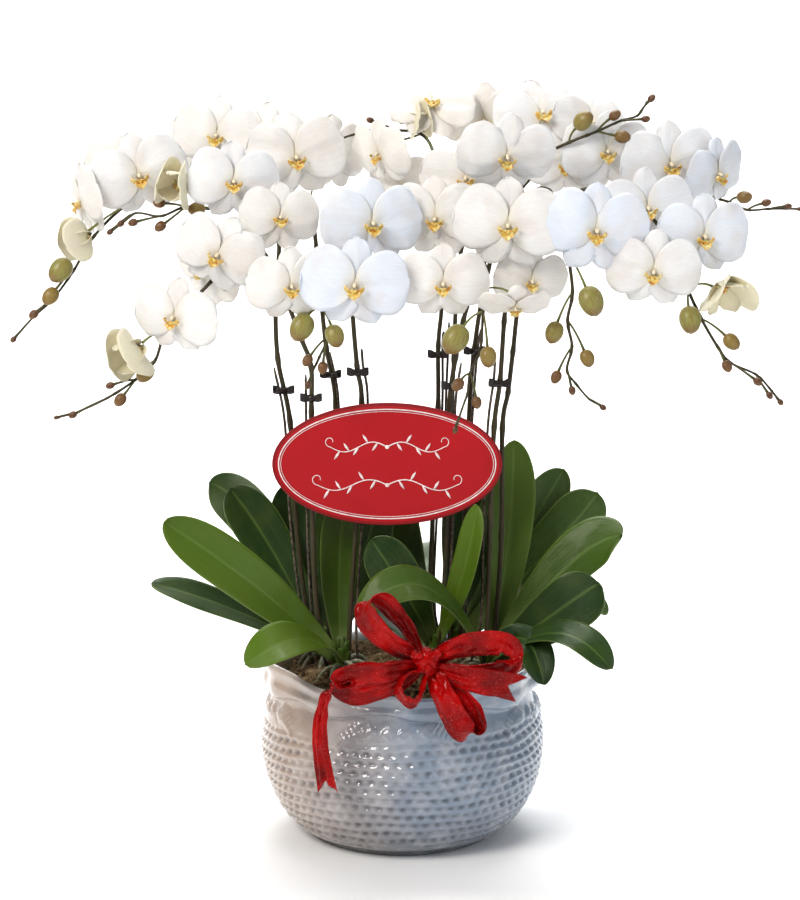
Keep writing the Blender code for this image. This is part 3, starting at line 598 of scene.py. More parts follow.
def mixed(tree, factor, first, second):
    """Two colours mixed by a factor."""
    made = tree.nodes.new("ShaderNodeMix")
    made.data_type = "RGBA"
    for index, value in ((0, factor), (6, first), (7, second)):
        socket = made.inputs[index]
        if isinstance(value, bpy.types.NodeSocket):
            tree.links.new(value, socket)
        elif index:
            socket.default_value = (*value, 1)
        else:
            socket.default_value = value
    return made.outputs[2]


def place(tree):
    """The point's place on the object, in metres."""
    return add(tree, "TexCoord").outputs["Object"]


def clouds(tree, scale, detail=3.0, where=None, roughness=0.5):
    """A noise value of the given scale per metre."""
    return add(tree, "TexNoise", Vector=where or place(tree), Scale=scale, Detail=detail,
               Roughness=roughness).outputs["Fac"]


def bumped(tree, shader, height, distance, strength=1.0):
    """Gives the shader a bump from a height, distance metres deep."""
    bump = add(tree, "Bump", Height=height, Distance=distance, Strength=strength)
    tree.links.new(bump.outputs["Normal"], shader.inputs["Normal"])


def on_blade(tree, across, along):
    """A place on a blade from its marks, so that a texture is stretched along it."""
    return add(tree, "CombineXYZ", X=sums(tree, "MULTIPLY", mark(tree, "across"), across),
               Y=sums(tree, "MULTIPLY", mark(tree, "along"), along), Z=mark(tree, "tint")).outputs["Vector"]


def petal_finish(choice):
    """Veined white petals, creamy at the throat."""
    made, tree, shader = finish("white_petal", Roughness=0.52, Subsurface_Weight=0.18, Subsurface_Scale=0.004,
                                Specular_IOR_Level=0.35, Sheen_Weight=0.15, Sheen_Roughness=0.6)
    shader.inputs["Subsurface Radius"].default_value = (1.0, 0.85, 0.65)
    # Painted light: each blossom's white is mixed by its tint, from warm-lit cream to cool-lit bluish white.
    white = mixed(tree, mark(tree, "tint"), choice.petal_under_warm_light, choice.petal_under_cool_light)
    young = ramp(tree, sums(tree, "MULTIPLY", mark(tree, "tint"), -1.0), grey((0.0, 0.0), (1.0, 0.8)))
    cream = mixed(tree, young, white, choice.petal_young)
    veins = clouds(tree, 9.0, 4.0, on_blade(tree, 3.2, 0.5))
    veined = mixed(tree, ramp(tree, veins, grey((0.42, 0.0), (0.62, 0.14))), cream, (0.54, 0.51, 0.49))
    throat = ramp(tree, mark(tree, "along"), grey((0.0, 0.75), (0.16, 0.22), (0.34, 0.0)))
    warmed = mixed(tree, throat, veined, (0.78, 0.70, 0.52))
    blotch = ramp(tree, clouds(tree, 30.0, 3.0), grey((0.4, 0.0), (0.72, 0.35)))
    tree.links.new(mixed(tree, blotch, warmed, (0.62, 0.53, 0.48)), shader.inputs["Base Color"])
    grain = sums(tree, "ADD", veins, sums(tree, "MULTIPLY", clouds(tree, 900.0, 2.0), 0.15))
    bumped(tree, shader, grain, 0.0009, 0.45)
    return made


def lip_finish(choice):
    """The speckled gold of the lips, white on their edges."""
    made, tree, shader = finish("lip", Roughness=0.45, Subsurface_Weight=0.12, Subsurface_Scale=0.002)
    speck = clouds(tree, 330.0, 3.0)
    gold = ramp(tree, speck, [(0.34, (0.80, 0.74, 0.42)), (0.47, choice.lip_gold), (0.62, (0.62, 0.32, 0.06)),
                              (0.72, (0.26, 0.07, 0.03))])
    white = mixed(tree, 0.25, (0.86, 0.84, 0.78), (0.80, 0.68, 0.34))
    tree.links.new(mixed(tree, mark(tree, "tint"), white, gold), shader.inputs["Base Color"])
    bumped(tree, shader, speck, 0.0006, 0.5)
    return made


def bud_finish(choice):
    """Bud skins, from brown on the smallest to olive on the largest."""
    made, tree, shader = finish("bud_skin", Roughness=0.42, Subsurface_Weight=0.08, Subsurface_Scale=0.002,
                                Coat_Weight=0.15, Coat_Roughness=0.3)
    ripe = ramp(tree, mark(tree, "tint"), [(0.0, (0.075, 0.026, 0.012)), (0.3, (0.14, 0.065, 0.02)),
                                           (0.55, (0.26, 0.19, 0.045)), (0.85, choice.bud_green)])
    tip = ramp(tree, mark(tree, "along"), grey((0.62, 0.0), (1.0, 0.75)))
    tipped = mixed(tree, tip, ripe, (0.20, 0.11, 0.035))
    streak = clouds(tree, 7.0, 4.0, on_blade(tree, 5.0, 0.8))
    blush = ramp(tree, streak, grey((0.42, 0.0), (0.66, 0.6)))
    tree.links.new(mixed(tree, blush, tipped, (0.24, 0.13, 0.05)), shader.inputs["Base Color"])
    bumped(tree, shader, streak, 0.0008, 0.5)
    return made


def stem_finish(choice):
    """Dark bark, and green on the twigs."""
    made, tree, shader = finish("dark_stem", Roughness=0.46, Specular_IOR_Level=0.45)
    streak = clouds(tree, 5.0, 4.0, on_blade(tree, 4.0, 30.0))
    bark = ramp(tree, streak, [(0.3, choice.stem_dark), (0.7, (0.050, 0.026, 0.014))])
    browned = ramp(tree, streak, grey((0.35, 0.0), (0.7, 0.5)))
    fresh = mixed(tree, browned, (0.24, 0.27, 0.08), (0.16, 0.10, 0.04))
    tree.links.new(mixed(tree, mark(tree, "tint"), bark, fresh), shader.inputs["Base Color"])
    bumped(tree, shader, streak, 0.0006, 0.6)
    return made


def leaf_finish(choice):
    """Thick glossy leaves with a pale middle line, rim and foot."""
    made, tree, shader = finish("green_leaf", Roughness=0.32, Specular_IOR_Level=0.36, Coat_Weight=0.12,
                                Coat_Roughness=0.15, Subsurface_Weight=0.05, Subsurface_Scale=0.003)
    hue = mixed(tree, mark(tree, "tint"), choice.leaf_dark, choice.leaf_light)
    mottle = ramp(tree, clouds(tree, 38.0, 4.0), grey((0.35, 0.0), (0.75, 0.55)))
    mottled = mixed(tree, mottle, hue, mixed(tree, 0.45, hue, (0.10, 0.13, 0.012)))
    lines = clouds(tree, 6.0, 3.0, on_blade(tree, 9.0, 0.7))
    lined = mixed(tree, ramp(tree, lines, grey((0.45, 0.0), (0.7, 0.16))), mottled, (0.12, 0.20, 0.04))
    middle = sums(tree, "ABSOLUTE", mark(tree, "across"))
    at_rib = ramp(tree, middle, grey((0.0, 0.45), (0.05, 0.2), (0.1, 0.0)))
    rib = mixed(tree, at_rib, lined, (0.16, 0.24, 0.06))
    rim = mixed(tree, ramp(tree, middle, grey((0.93, 0.0), (1.0, 0.4))), rib, (0.20, 0.27, 0.07))
    uneven_along = sums(tree, "ADD", mark(tree, "along"), sums(tree, "MULTIPLY", clouds(tree, 60.0), 0.09))
    tipped = mixed(tree, ramp(tree, uneven_along, grey((1.0, 0.0), (1.06, 0.5))), rim, (0.22, 0.15, 0.05))
    at_foot = ramp(tree, mark(tree, "along"), grey((0.0, 0.7), (0.22, 0.0)))
    foot = mixed(tree, at_foot, tipped, (0.24, 0.30, 0.10))
    under = mixed(tree, mark(tree, "side"), foot, mixed(tree, 0.5, foot, (0.16, 0.23, 0.09)))
    tree.links.new(under, shader.inputs["Base Color"])
    height = sums(tree, "ADD", lines, sums(tree, "MULTIPLY", clouds(tree, 120.0, 3.0), 0.5))
    bumped(tree, shader, height, 0.0011, 0.55)
    return made


def glaze_finish(choice):
    """Glaze with painted light, warm on the left and cool on the right, and painted shade towards the bottom
    and in the pits.
    """
    made, tree, shader = finish("glazed_pot", Roughness=0.16, Specular_IOR_Level=0.55, Coat_Weight=0.5,
                                Coat_Roughness=0.06)
    # Painted light: the glaze turns from warm-lit on the left to cool-lit on the right, by position and a
    # patchy noise.
    side = add(tree, "SeparateXYZ", Vector=place(tree)).outputs["X"]
    patchy = sums(tree, "MULTIPLY", clouds(tree, 9.0), 0.5)
    drift = sums(tree, "ADD", sums(tree, "MULTIPLY", side, 3.4), patchy)
    tone = mixed(tree, ramp(tree, sums(tree, "ADD", drift, 0.42), grey((0.18, 0.0), (0.80, 1.0))),
                 choice.glaze_under_warm_light, choice.glaze_under_cool_light)
    # Painted shade: darker towards the bottom, where less light falls.
    low = ramp(tree, mark(tree, "along"), grey((0.0, 0.85), (0.12, 0.5), (0.45, 0.0)))
    shaded = mixed(tree, low, tone, (0.13, 0.115, 0.105))
    # Painted shade in the pits and round the edges of the raised ornament, read from the tint mark.
    painted_pit_shade = ramp(tree, mark(tree, "tint"), grey((0.0, 0.0), (1.0, 0.72)))
    deep = mixed(tree, painted_pit_shade, shaded, (0.07, 0.075, 0.085))
    cloud = ramp(tree, clouds(tree, 42.0, 4.0), grey((0.42, 0.0), (0.72, 0.5)))
    worn = mixed(tree, cloud, deep, mixed(tree, 0.5, tone, (0.62, 0.60, 0.58)))
    tree.links.new(worn, shader.inputs["Base Color"])
    fine = sums(tree, "MULTIPLY", clouds(tree, 420.0, 1.0), 0.15)
    uneven = sums(tree, "ADD", clouds(tree, 95.0, 3.0), fine)
    bumped(tree, shader, uneven, 0.0022, 0.5)
    return made


def moss_finish(choice):
    """Dried moss and bark."""
    made, tree, shader = finish("dried_moss", Roughness=0.92, Specular_IOR_Level=0.2)
    patch = clouds(tree, 55.0, 5.0)
    shades = [(0.25, (0.035, 0.020, 0.010)), (0.5, choice.moss_brown), (0.72, (0.30, 0.21, 0.12))]
    base = ramp(tree, patch, shades)
    tree.links.new(mixed(tree, mark(tree, "tint"), base, (0.30, 0.23, 0.13)), shader.inputs["Base Color"])
    bumped(tree, shader, clouds(tree, 420.0, 5.0, roughness=0.7), 0.002, 0.9)
    return made


def ribbon_finish(choice):
    """Red ribbon of real glitter with its glints painted as bright specks, and painted light and shade on its
    folds.
    """
    made, tree, shader = finish("red_ribbon", Specular_IOR_Level=0.5, Specular_Tint=(1.0, 0.05, 0.04, 1.0),
                                Coat_Weight=0.3, Coat_Roughness=0.08)
    cells = add(tree, "TexVoronoi", Vector=place(tree), Scale=1300.0)
    # Painted glints: the glitter is real, and its sparkle is painted as pale specks in the base colour.
    glint = ramp(tree, cells.outputs["Color"], grey((0.80, 0.0), (0.97, 1.0)))
    # Painted light and shade: a noise mixes a lit red with a shaded red, standing in for lit and shaded
    # folds.
    fold = ramp(tree, clouds(tree, 26.0, 2.0), grey((0.3, 0.0), (0.7, 1.0)))
    red = mixed(tree, fold, choice.ribbon_shaded_red, choice.ribbon_lit_red)
    tree.links.new(mixed(tree, sums(tree, "MULTIPLY", glint, 0.75), red, (0.90, 0.16, 0.14)),
                   shader.inputs["Base Color"])
    dull = ramp(tree, cells.outputs["Color"], grey((0.1, 0.38), (0.9, 0.2)))
    tree.links.new(dull, shader.inputs["Roughness"])
    creased = sums(tree, "MULTIPLY", clouds(tree, 110.0, 3.0), 3.0)
    weave = sums(tree, "ADD", cells.outputs["Distance"], creased)
    bumped(tree, shader, weave, 0.0008, 0.6)
    return made


def card_finish(choice):
    """Red card with a darker rim."""
    made, tree, shader = finish("red_card", Roughness=0.42, Specular_IOR_Level=0.4)
    fibre = clouds(tree, 240.0, 4.0, roughness=0.65)
    shade = ramp(tree, clouds(tree, 14.0, 2.0), grey((0.3, 0.0), (0.8, 0.35)))
    face = mixed(tree, shade, choice.card_red, (0.31, 0.002, 0.006))
    rim = mixed(tree, mark(tree, "tint"), face, (0.22, 0.004, 0.008))
    tree.links.new(mixed(tree, sums(tree, "MULTIPLY", fibre, 0.10), rim, (0.60, 0.02, 0.02)),
                   shader.inputs["Base Color"])
    bumped(tree, shader, fibre, 0.0003, 0.5)
    return made


def grained_finish(name, dark, light, scale, depth, **values):
    """A plain hard finish with a fine grain of two shades."""
    made, tree, shader = finish(name, **values)
    grain = clouds(tree, scale, 4.0)
    tree.links.new(ramp(tree, grain, [(0.35, dark), (0.68, light)]), shader.inputs["Base Color"])
    bumped(tree, shader, grain, depth, 0.5)
    return made


# ================================================================ pot
def pot_profile(points, step):
    """(radius, height) points a step apart along the smooth curve through the given ones."""
    dense = smooth_path([(r, z, 0) for r, z in points], 12)
    runs = np.cumsum([0, *[(b - a).length for a, b in zip(dense, dense[1:])]])
    at = np.linspace(0, runs[-1], int(runs[-1] / step))
    return [np.interp(at, runs, [p[k] for p in dense]) for k in (0, 1)]


def scroll_strokes():
    """Points of the raised ornament of one panel of the shoulder, as (distance round, height)."""
    points = []
    for side in (-1, 1):  # a pair of curls
        for i in range(46):
            turn = i / 45 * math.tau * 1.35
            reach = 7.0 - 4.6 * i / 45
            points.append((side * (8.0 + reach * math.cos(turn)), 150 + reach * 0.8 * math.sin(turn)))
    for side in (-1, 1):  # a feather on each side of the curls, of bent barbs on a bent shaft
        for i in range(26):
            points.append((side * (24 + i * 1.5), 154 - 0.011 * (i * 1.5) ** 2))
        for barb in range(7):
            x = 27 + barb * 5.2
            for lean in (-1, 1):
                for i in range(9):
                    reach = i * (1.1 - 0.06 * barb)
                    height = 154 - 0.011 * (x - 24) ** 2 + lean * reach
                    points.append((side * (x + reach * 0.7 + 0.04 * reach**2), height))
    return points


def pit_pattern(choice, turn, z):
    """How deep in a pit each point of the wall is, the band that has pits, and the rows' levels."""
    drift = 1.1 * np.sin(5 * turn + 0.06 * z) + 0.6 * np.sin(13 * turn + 0.11 * z)
    level = (z - 5 * np.cos(turn) - 2 * np.cos(3 * turn) - drift) / PIT_RISE
    row = np.floor(level)
    count = turn / math.tau * choice.pits_around + 0.5 * (row % 2)
    pitch = math.tau * PIT_RADIUS / choice.pits_around
    sideways = np.abs(count % 1 - 0.5) * pitch / PIT_SIZE[0]
    upward = np.abs(level % 1 - 0.5) * PIT_RISE / PIT_SIZE[1]
    top = PIT_LIMITS[1] + 5 * np.cos(turn)
    body = np.clip((z - PIT_LIMITS[0]) / 7, 0, 1) * np.clip((top - z) / 5, 0, 1)
    uneven = 0.84 + 0.16 * np.sin(2.3 * row + 7.0 * np.floor(count))
    return np.exp(-((sideways**2 + upward**2) ** 1.25)) * body * uneven, body, level


def shoulder_relief(turn, z):
    """How high each point of the wall stands in the raised ornament, from 0 to 1."""
    relief = np.zeros_like(z)
    band = (z[:, 0] > 118) & (z[:, 0] < NECK_HEIGHT)
    for panel in range(5):
        middle = -math.pi / 2 - 0.04 + panel * math.tau / 5
        away = ((turn[band] - middle + math.pi) % math.tau - math.pi) * PIT_RADIUS
        for x, up in scroll_strokes():
            near = ((away - x) ** 2 + (z[band] - up) ** 2) / RELIEF_LINE**2
            relief[band] = np.maximum(relief[band], np.exp(-near))
    return relief


def build_pot(choice):
    """The glazed pot: rows of pits round its body, an ornament on its shoulder and a gathered collar."""
    radius, height = pot_profile(POT_OUTSIDE, 2.2)
    turns = np.arange(POT_TURNS) * math.tau / POT_TURNS
    r, turn = np.meshgrid(radius, turns, indexing="ij")
    z = np.meshgrid(height, turns, indexing="ij")[0]
    pit, body, level = pit_pattern(choice, turn, z)
    relief = shoulder_relief(turn, z)
    share = np.clip((z - NECK_HEIGHT) / (RIM_HEIGHT - NECK_HEIGHT), 0, 1)
    waves = RIM_WAVE_DEPTH * np.cos(RIM_WAVES * turn) * share
    folds = np.cos(17 * turn + 1.7 * np.sin(4 * turn))
    pleats = 1.7 * folds * np.sin(math.pi * share) ** 0.7 * (share > 0)
    ripple = 0.7 * np.sin(5 * turn + z * 0.08) * body
    rib = 0.8 * np.cos(math.tau * (level - 0.5)) * body
    raised = RELIEF_DEPTH * relief * (1 - pit)
    r = r - choice.pit_depth / MM * pit + raised + waves + pleats - ripple * 0.4 - rib
    scallop = 4.0 * np.cos(RIM_WAVES * turn + math.pi) * np.exp(-(((z - 170) / 7) ** 2))
    lift = RIM_SWAY * share * np.cos(2 * turn) + scallop + 1.2 * np.sin(7 * turn + 1) * share**3
    skin = Skin()
    rows, marks = [], []
    for i in range(r.shape[0]):
        level_points = zip(r[i] * np.cos(turns), r[i] * np.sin(turns), z[i] + lift[i])
        rows.append([Vector(point) for point in level_points])
        # Painted shade: the tint mark is high in the pits and round the edges of the raised ornament.
        shade = np.clip(pit[i] * 0.9 + 0.25 * (relief[i] > 0.05) * (1 - relief[i]), 0, 1)
        marks.append([(i / r.shape[0], t / math.tau, float(s), 0.0) for t, s in zip(turns, shade)])
    for inner, up in zip(*pot_profile(POT_INSIDE, 8)):
        part = min(max((up - NECK_HEIGHT) / (RIM_HEIGHT - NECK_HEIGHT), 0), 1)
        ring = []
        for t in turns:
            reach = inner + RIM_WAVE_DEPTH * part * math.cos(RIM_WAVES * t)
            sway = RIM_SWAY * part * math.cos(2 * t)
            ring.append(Vector((reach * math.cos(t), reach * math.sin(t), up + sway)))
        rows.append(ring)
        marks.append([(1.0, t / math.tau, 0.0, 1.0) for t in turns])
    first = skin.lay(rows, marks, ring=True)
    skin.faces.append(tuple(range(first, first + POT_TURNS)))
    last = first + (len(rows) - 1) * POT_TURNS
    skin.faces.append(tuple(range(last, last + POT_TURNS)))
    piece("pot_glazed", skin, glaze_finish(choice), ["pot"])


# ================================================================ moss
def build_moss(choice):
    """The bed: a knobbly dome, bark chips on it and loose strands of dried moss."""
    skin, draw = Skin(), random.Random(11)
    rows = []
    for radius, height in MOSS_SIDE:
        rows.append([Vector((radius * math.cos(t), radius * math.sin(t), height))
                     for t in ring_turns(MOSS_TURNS)])
    for i in range(24):
        radius = MOSS_EDGE_RADIUS * (1 - i / 24)
        ring = []
        for t in ring_turns(MOSS_TURNS):
            at = Vector((radius * math.cos(t), radius * math.sin(t), 0))
            lumps = 4.2 * noise.noise(at * 0.075) + 2.2 * noise.noise(at * 0.21 + Vector((5, 2, 1)))
            edge = -5 * max(0, 1 - i / 3)
            at.z = moss_height(at.x, at.y) - 2.5 + lumps + edge
            ring.append(at)
        rows.append(ring)
    first = skin.lay(rows, [[PLAIN] * MOSS_TURNS for _ in rows], ring=True)
    skin.faces.append(tuple(range(first, first + MOSS_TURNS)))
    last = first + MOSS_TURNS * (len(rows) - 1)
    skin.faces.append(tuple(range(last, last + MOSS_TURNS)))
    fibre = moss_finish(choice)
    piece("moss_mound", skin, fibre, ["moss_bed"])
    chips = Skin()
    for k in range(230):
        at = moss_spot(draw, 131)
        size = (draw.uniform(6, 14), draw.uniform(4, 8), draw.uniform(2.5, 5))
        turn = facing(draw.uniform(0, 360), draw.uniform(-22, 22), draw.uniform(-22, 22))
        chips.lump(at + UP * size[2] * 0.3, size, turn, draw.uniform(0, 0.45), 0.8, k * 3.7)
    piece("bark_chips", chips, fibre, ["moss_bed"], crease=38)
    strands = Skin()
    for _ in range(620):
        at = moss_spot(draw, 132) + UP * 2
        heading = draw.uniform(0, math.tau)
        line = [at]
        for _ in range(5):
            heading += draw.uniform(-0.9, 0.9)
            step = Vector((math.cos(heading), math.sin(heading), 0)) * draw.uniform(3, 6)
            ahead = line[-1] + step
            if ahead.xy.length > 135:
                break
            ahead.z = moss_height(ahead.x, ahead.y) + draw.uniform(-1, 5)
            line.append(ahead)
        if len(line) > 2:
            line = smooth_path(line, 2)
            strands.tube(line, [draw.uniform(0.35, 0.8)] * len(line), 4, draw.uniform(0.2, 1.0))
    piece("moss_strands", strands, fibre, ["moss_bed"])


def ring_turns(count):
    """Angles evenly spaced round a circle."""
    return [math.tau * i / count for i in range(count)]


def moss_spot(draw, limit):
    """A random point on the moss, evenly spread."""
    reach = limit * math.sqrt(draw.random())
    turn = draw.uniform(0, math.tau)
    x, y = reach * math.cos(turn), reach * math.sin(turn)
    return Vector((x, y, moss_height(x, y) - 2))


# ================================================================ leaves and crowns
def leaf_breadth(share):
    """Half width of a leaf along it, as a share of the widest."""
    if share < LEAF_WIDEST:
        return 0.26 + 0.74 * math.sin(math.pi / 2 * share / LEAF_WIDEST) ** 1.15
    return max(1 - ((share - LEAF_WIDEST) / (1 - LEAF_WIDEST)) ** 2.3, 0.0) ** 0.55


def leaf(skin, crown, middle, tip, width, face, light, draw):
    """A thick strap leaf, folded along its middle, waved a little, with a rounded tip."""
    middle, tip, face = Vector(middle), Vector(tip), Vector(face)
    x, y = Vector(crown) + (middle.xy - Vector(crown)).normalized() * LEAF_ROOT_RADIUS
    base = Vector((x, y, moss_height(x, y) + LEAF_ROOT_HEIGHT))
    control = 2 * middle - (base + tip) / 2
    phase, waves, skew = draw.uniform(0, 6), draw.uniform(1.2, 2.4), draw.uniform(-0.06, 0.06)
    rows, marks = [], []
    for i in range(LEAF_ROWS + 1):
        share = 1 - (1 - i / LEAF_ROWS) ** 1.35
        point = (1 - share) ** 2 * base + 2 * share * (1 - share) * control + share**2 * tip
        direction = ((1 - share) * (control - base) + share * (tip - control)).normalized()
        across = direction.cross(face).normalized()
        upper = across.cross(direction).normalized()
        half = max(width / 2 * leaf_breadth(share), 0.5)
        row, line = [], []
        for j in range(LEAF_COLUMNS + 1):
            t = 2 * j / LEAF_COLUMNS - 1
            fold = width * LEAF_CHANNEL * (1 - abs(t) ** 1.25) * half / (width / 2)
            droop = width * 0.035 * t * t * share
            wave = 1.7 * math.sin(waves * math.tau * share + phase + 1.3 * t) * t * t * share
            row.append(point + across * half * (t + skew * (1 - t * t)) + upper * (wave - fold - droop))
            line.append((share, t, light, 0.0))
        rows.append(row)
        marks.append(line)
    skin.shell(rows, LEAF_THICKNESS, marks, face)


def crown_body(skin, centre, draw):
    """The short stump of leaf sheaths that a plant grows from."""
    x, y = centre
    for k in range(7):
        turn = k * 2.4 + draw.uniform(-0.2, 0.2)
        out = Vector((math.cos(turn), math.sin(turn), 0))
        foot = moss_height(x, y) - 3
        rows, marks = [], []
        for i in range(9):
            share = i / 8
            row, line = [], []
            for j in range(9):
                t = j / 4 - 1
                sweep = turn + t * (1.15 - 0.75 * share)
                reach = 6.5 + 3.5 * share * (1 - 0.3 * t * t)
                around = Vector((math.cos(sweep), math.sin(sweep), 0)) * reach
                row.append(Vector((x, y, foot)) + around + UP * (share * (24 + 2.5 * k)))
                line.append((share * 0.3, t, 0.55, 0.0))
            rows.append(row)
            marks.append(line)
        skin.shell(rows, 1.6, marks, out)


def roots(skin, centre, draw):
    """Thick pale roots that leave a crown and dive into the moss."""
    for k in range(7):
        turn = math.tau * k / 7 + draw.uniform(-0.3, 0.3)
        out = Vector((math.cos(turn), math.sin(turn), 0))
        start = Vector((*centre, moss_height(*centre) + draw.uniform(3, 9))) + out * 6
        end = start + out * draw.uniform(22, 40)
        if end.xy.length > 126:
            end = start + out * 12
        end.z = moss_height(end.x, end.y) - 8
        path = bend(start, start + out * 16 + UP * draw.uniform(6, 16), end, 12)
        width = draw.uniform(1.9, 2.8)
        skin.tube(path, [width * (1 + 0.08 * math.sin(i * 1.9)) for i in range(13)], 9, 0.9)


def build_leaves(choice):
    """Every plant's crown and leaves, as one piece each."""
    green = leaf_finish(choice)
    pale = grained_finish("root_skin", (0.17, 0.17, 0.11), (0.36, 0.36, 0.27), 160.0, 0.0008, Roughness=0.75)
    for number, (name, (crown, _, leaves)) in enumerate(PLANTS.items()):
        draw = random.Random(100 + number)
        for leaf_name in leaves:
            skin = Skin()
            leaf(skin, crown, *LEAVES[leaf_name], draw)
            piece("leaf_" + leaf_name, skin, green, [name])
        sheaths, thick = Skin(), Skin()
        crown_body(sheaths, crown, draw)
        piece(name + "_sheaths", sheaths, green, [name])
        roots(thick, crown, draw)
        piece(name + "_roots", thick, pale, [name])


# ================================================================ stems and buds
def stem_radius(share):
    """Radius of a stem at a share of the way from its foot to its tip."""
    return STEM_FOOT_RADIUS + (STEM_TIP_RADIUS - STEM_FOOT_RADIUS) * share**1.4


def bract(skin, point, direction, side, size):
    """A small pointed scale that clasps a stem."""
    rows, marks = [], []
    across = direction.cross(side).normalized()
    for i in range(6):
        share = i / 5
        half = size * 0.42 * (1 - share) ** 0.7 + 0.1
        row = []
        for j in range(5):
            t = j / 2 - 1
            row.append(point + direction * size * share + side * (size * 0.22 + size * 0.16 * share**2)
                       + across * half * t - side * half * 0.5 * t * t)
        rows.append(row)
        marks.append([(share, j / 2 - 1, 0.25, 0.0) for j in range(5)])
    skin.shell(rows, 0.5, marks, side)


def spike_stem(skin, number):
    """One stem with its swollen nodes and scales."""
    route = stem_path(number)
    path = stem_path(number, 8)
    last = len(path) - 1
    at_buds = {nearest(path, Vector(centre)) for centre, _ in SPIKES[number]["buds"]}
    knots = sorted(at_buds | {i * 8 for i in range(2, len(route) - 1)})
    radii = []
    for i in range(last + 1):
        swell = max((math.exp(-(((path[i] - path[k]).length / 2.6) ** 2)) for k in knots), default=0)
        radii.append(stem_radius(i / last) * (1 + 0.28 * swell))
    skin.tube(path, radii, 10, 0.12)
    directions = tangents(path)
    for count, k in enumerate(knots):
        side = directions[k].orthogonal().normalized()
        side = Matrix.Rotation(count * 2.4, 3, directions[k]) @ side
        bract(skin, path[k] - directions[k] * 1.5, directions[k], side, 9 - 5 * k / last)


def bud_frame(number, centre, length):
    """Where a bud's twig leaves the stem, its own foot, and its axis."""
    path = stem_path(number)
    centre = Vector(centre)
    i = nearest(path, centre) - 1
    along = tangents(path)[i]
    axis = (centre - path[i] + along * length * 0.4 - UP * length * 0.15).normalized()
    return path[i], centre - axis * length * 0.5, axis


def bud(skin, twigs, number, centre, length, closed):
    """A bud on its bent stalk: a three-sided egg with a blunt point."""
    start, foot, axis = bud_frame(number, centre, length)
    reach = (foot - start).length
    stalk = bend(start, foot - axis * reach * 0.6, foot + axis * length * 0.08, 10)
    thin = min(1.15, length * BUD_GIRTH * 0.4)
    twigs.tube(stalk, [thin * (1 + 0.5 * (i / 10) ** 4) for i in range(11)], 8, min(length / 40, 1))
    if not closed:
        return
    path, radii = [], []
    for i in range(17):
        share = i / 16
        path.append(foot + axis * length * share)
        egg = math.sqrt(max(1 - (2 * share - 1) ** 2, 0.006))
        radii.append(length * BUD_GIRTH * egg * (1.06 - 0.16 * share))
    ripeness = min(max((length - 8) / 24, 0), 1)
    skin.tube(path, radii, 21, ripeness,
              lambda turn: 1 + 0.035 * math.cos(3 * turn) + 0.012 * math.cos(6 * turn + 1))


def blossom_stalk(twigs, number, centre, yaw, nod, roll, width):
    """The stalk from the stem to the back of a blossom."""
    path = stem_path(number)
    face = facing(yaw, nod, roll) @ Vector((0, -1, 0))
    end = Vector(centre) - face * 1.2
    foot = path[nearest(path, end - face * width * 0.3)]
    stalk = bend(foot, end - face * (foot - end).length * 0.5, end, 12)
    twigs.tube(stalk, [1.05 + 0.5 * (i / 12) ** 3 for i in range(13)], 9, 0.85)


def build_stems(choice):
    """Every spike's stem, twigs and closed buds."""
    bark, skin_finish = stem_finish(choice), bud_finish(choice)
    for name, (_, spikes, _) in PLANTS.items():
        for number in spikes:
            stem, buds = Skin(), Skin()
            spike_stem(stem, number)
            for index, (centre, length) in enumerate(SPIKES[number]["buds"]):
                bud(buds, stem, number, centre, length, (number, index) not in OPENING)
            for flower in SPIKES[number]["blossoms"]:
                blossom_stalk(stem, number, *flower)
            piece(f"spike_{number:02d}_stem", stem, bark, [name])
            piece(f"spike_{number:02d}_buds", buds, skin_finish, [name])


# ================================================================ blossoms
def tepal(skin, place_at, angle, length, half, powers, slopes, draw, tint, forward, rows_count, columns):
    """One petal or sepal: a rounded blade on a short claw, with a ruffled edge."""
    rise, fall = powers
    widest = rise / (rise + fall)
    peak = widest**rise * (1 - widest) ** fall
    start, end = (math.radians(slope) for slope in slopes)
    turn = math.radians(angle)
    phase, waves = draw.uniform(0, 6), draw.uniform(1.5, 2.6)
    ruffle, cup = draw.uniform(0.03, 0.06) * length, draw.uniform(0.02, 0.24)
    dent, dent_at = draw.choice((-1, 1)) * draw.uniform(0.03, 0.06) * length, draw.uniform(-0.5, 0.5)
    rows, marks = [], []
    for i in range(rows_count + 1):
        share = 1 - (1 - i / rows_count) ** 1.6
        slope = start + (end - start) * share
        out = length * (math.sin(slope) - math.sin(start)) / (end - start)
        front = forward + length * (math.cos(start) - math.cos(slope)) / (end - start)
        wide = half * max(share, 0.004) ** rise * max(1 - share, 0.0008) ** fall / peak
        wide = max(wide, half * 0.12 * (1 - share))
        row, line = [], []
        for j in range(columns + 1):
            t = 2 * j / columns - 1
            wave = ruffle * math.sin(waves * math.tau * share + phase + 2.1 * t) * abs(t) ** 2.5 * share
            lean = wave - cup * wide * t * t
            crease = -0.012 * length * math.exp(-((t / 0.14) ** 2)) * (1 - share)
            crease += dent * math.exp(-(((t - dent_at) / 0.22) ** 2)) * math.sin(math.pi * share)
            bow = 0.035 * length * (1 - t * t) * share**3
            x = (out + bow) * math.cos(turn) - wide * t * math.sin(turn)
            z = (out + bow) * math.sin(turn) + wide * t * math.cos(turn)
            row.append(place_at(x, front + lean + crease, z))
            line.append((share, t, tint, 0.0))
        rows.append(row)
        marks.append(line)
    skin.shell(rows, 0.9, marks, place_at(0, 1, 0) - place_at(0, 0, 0))


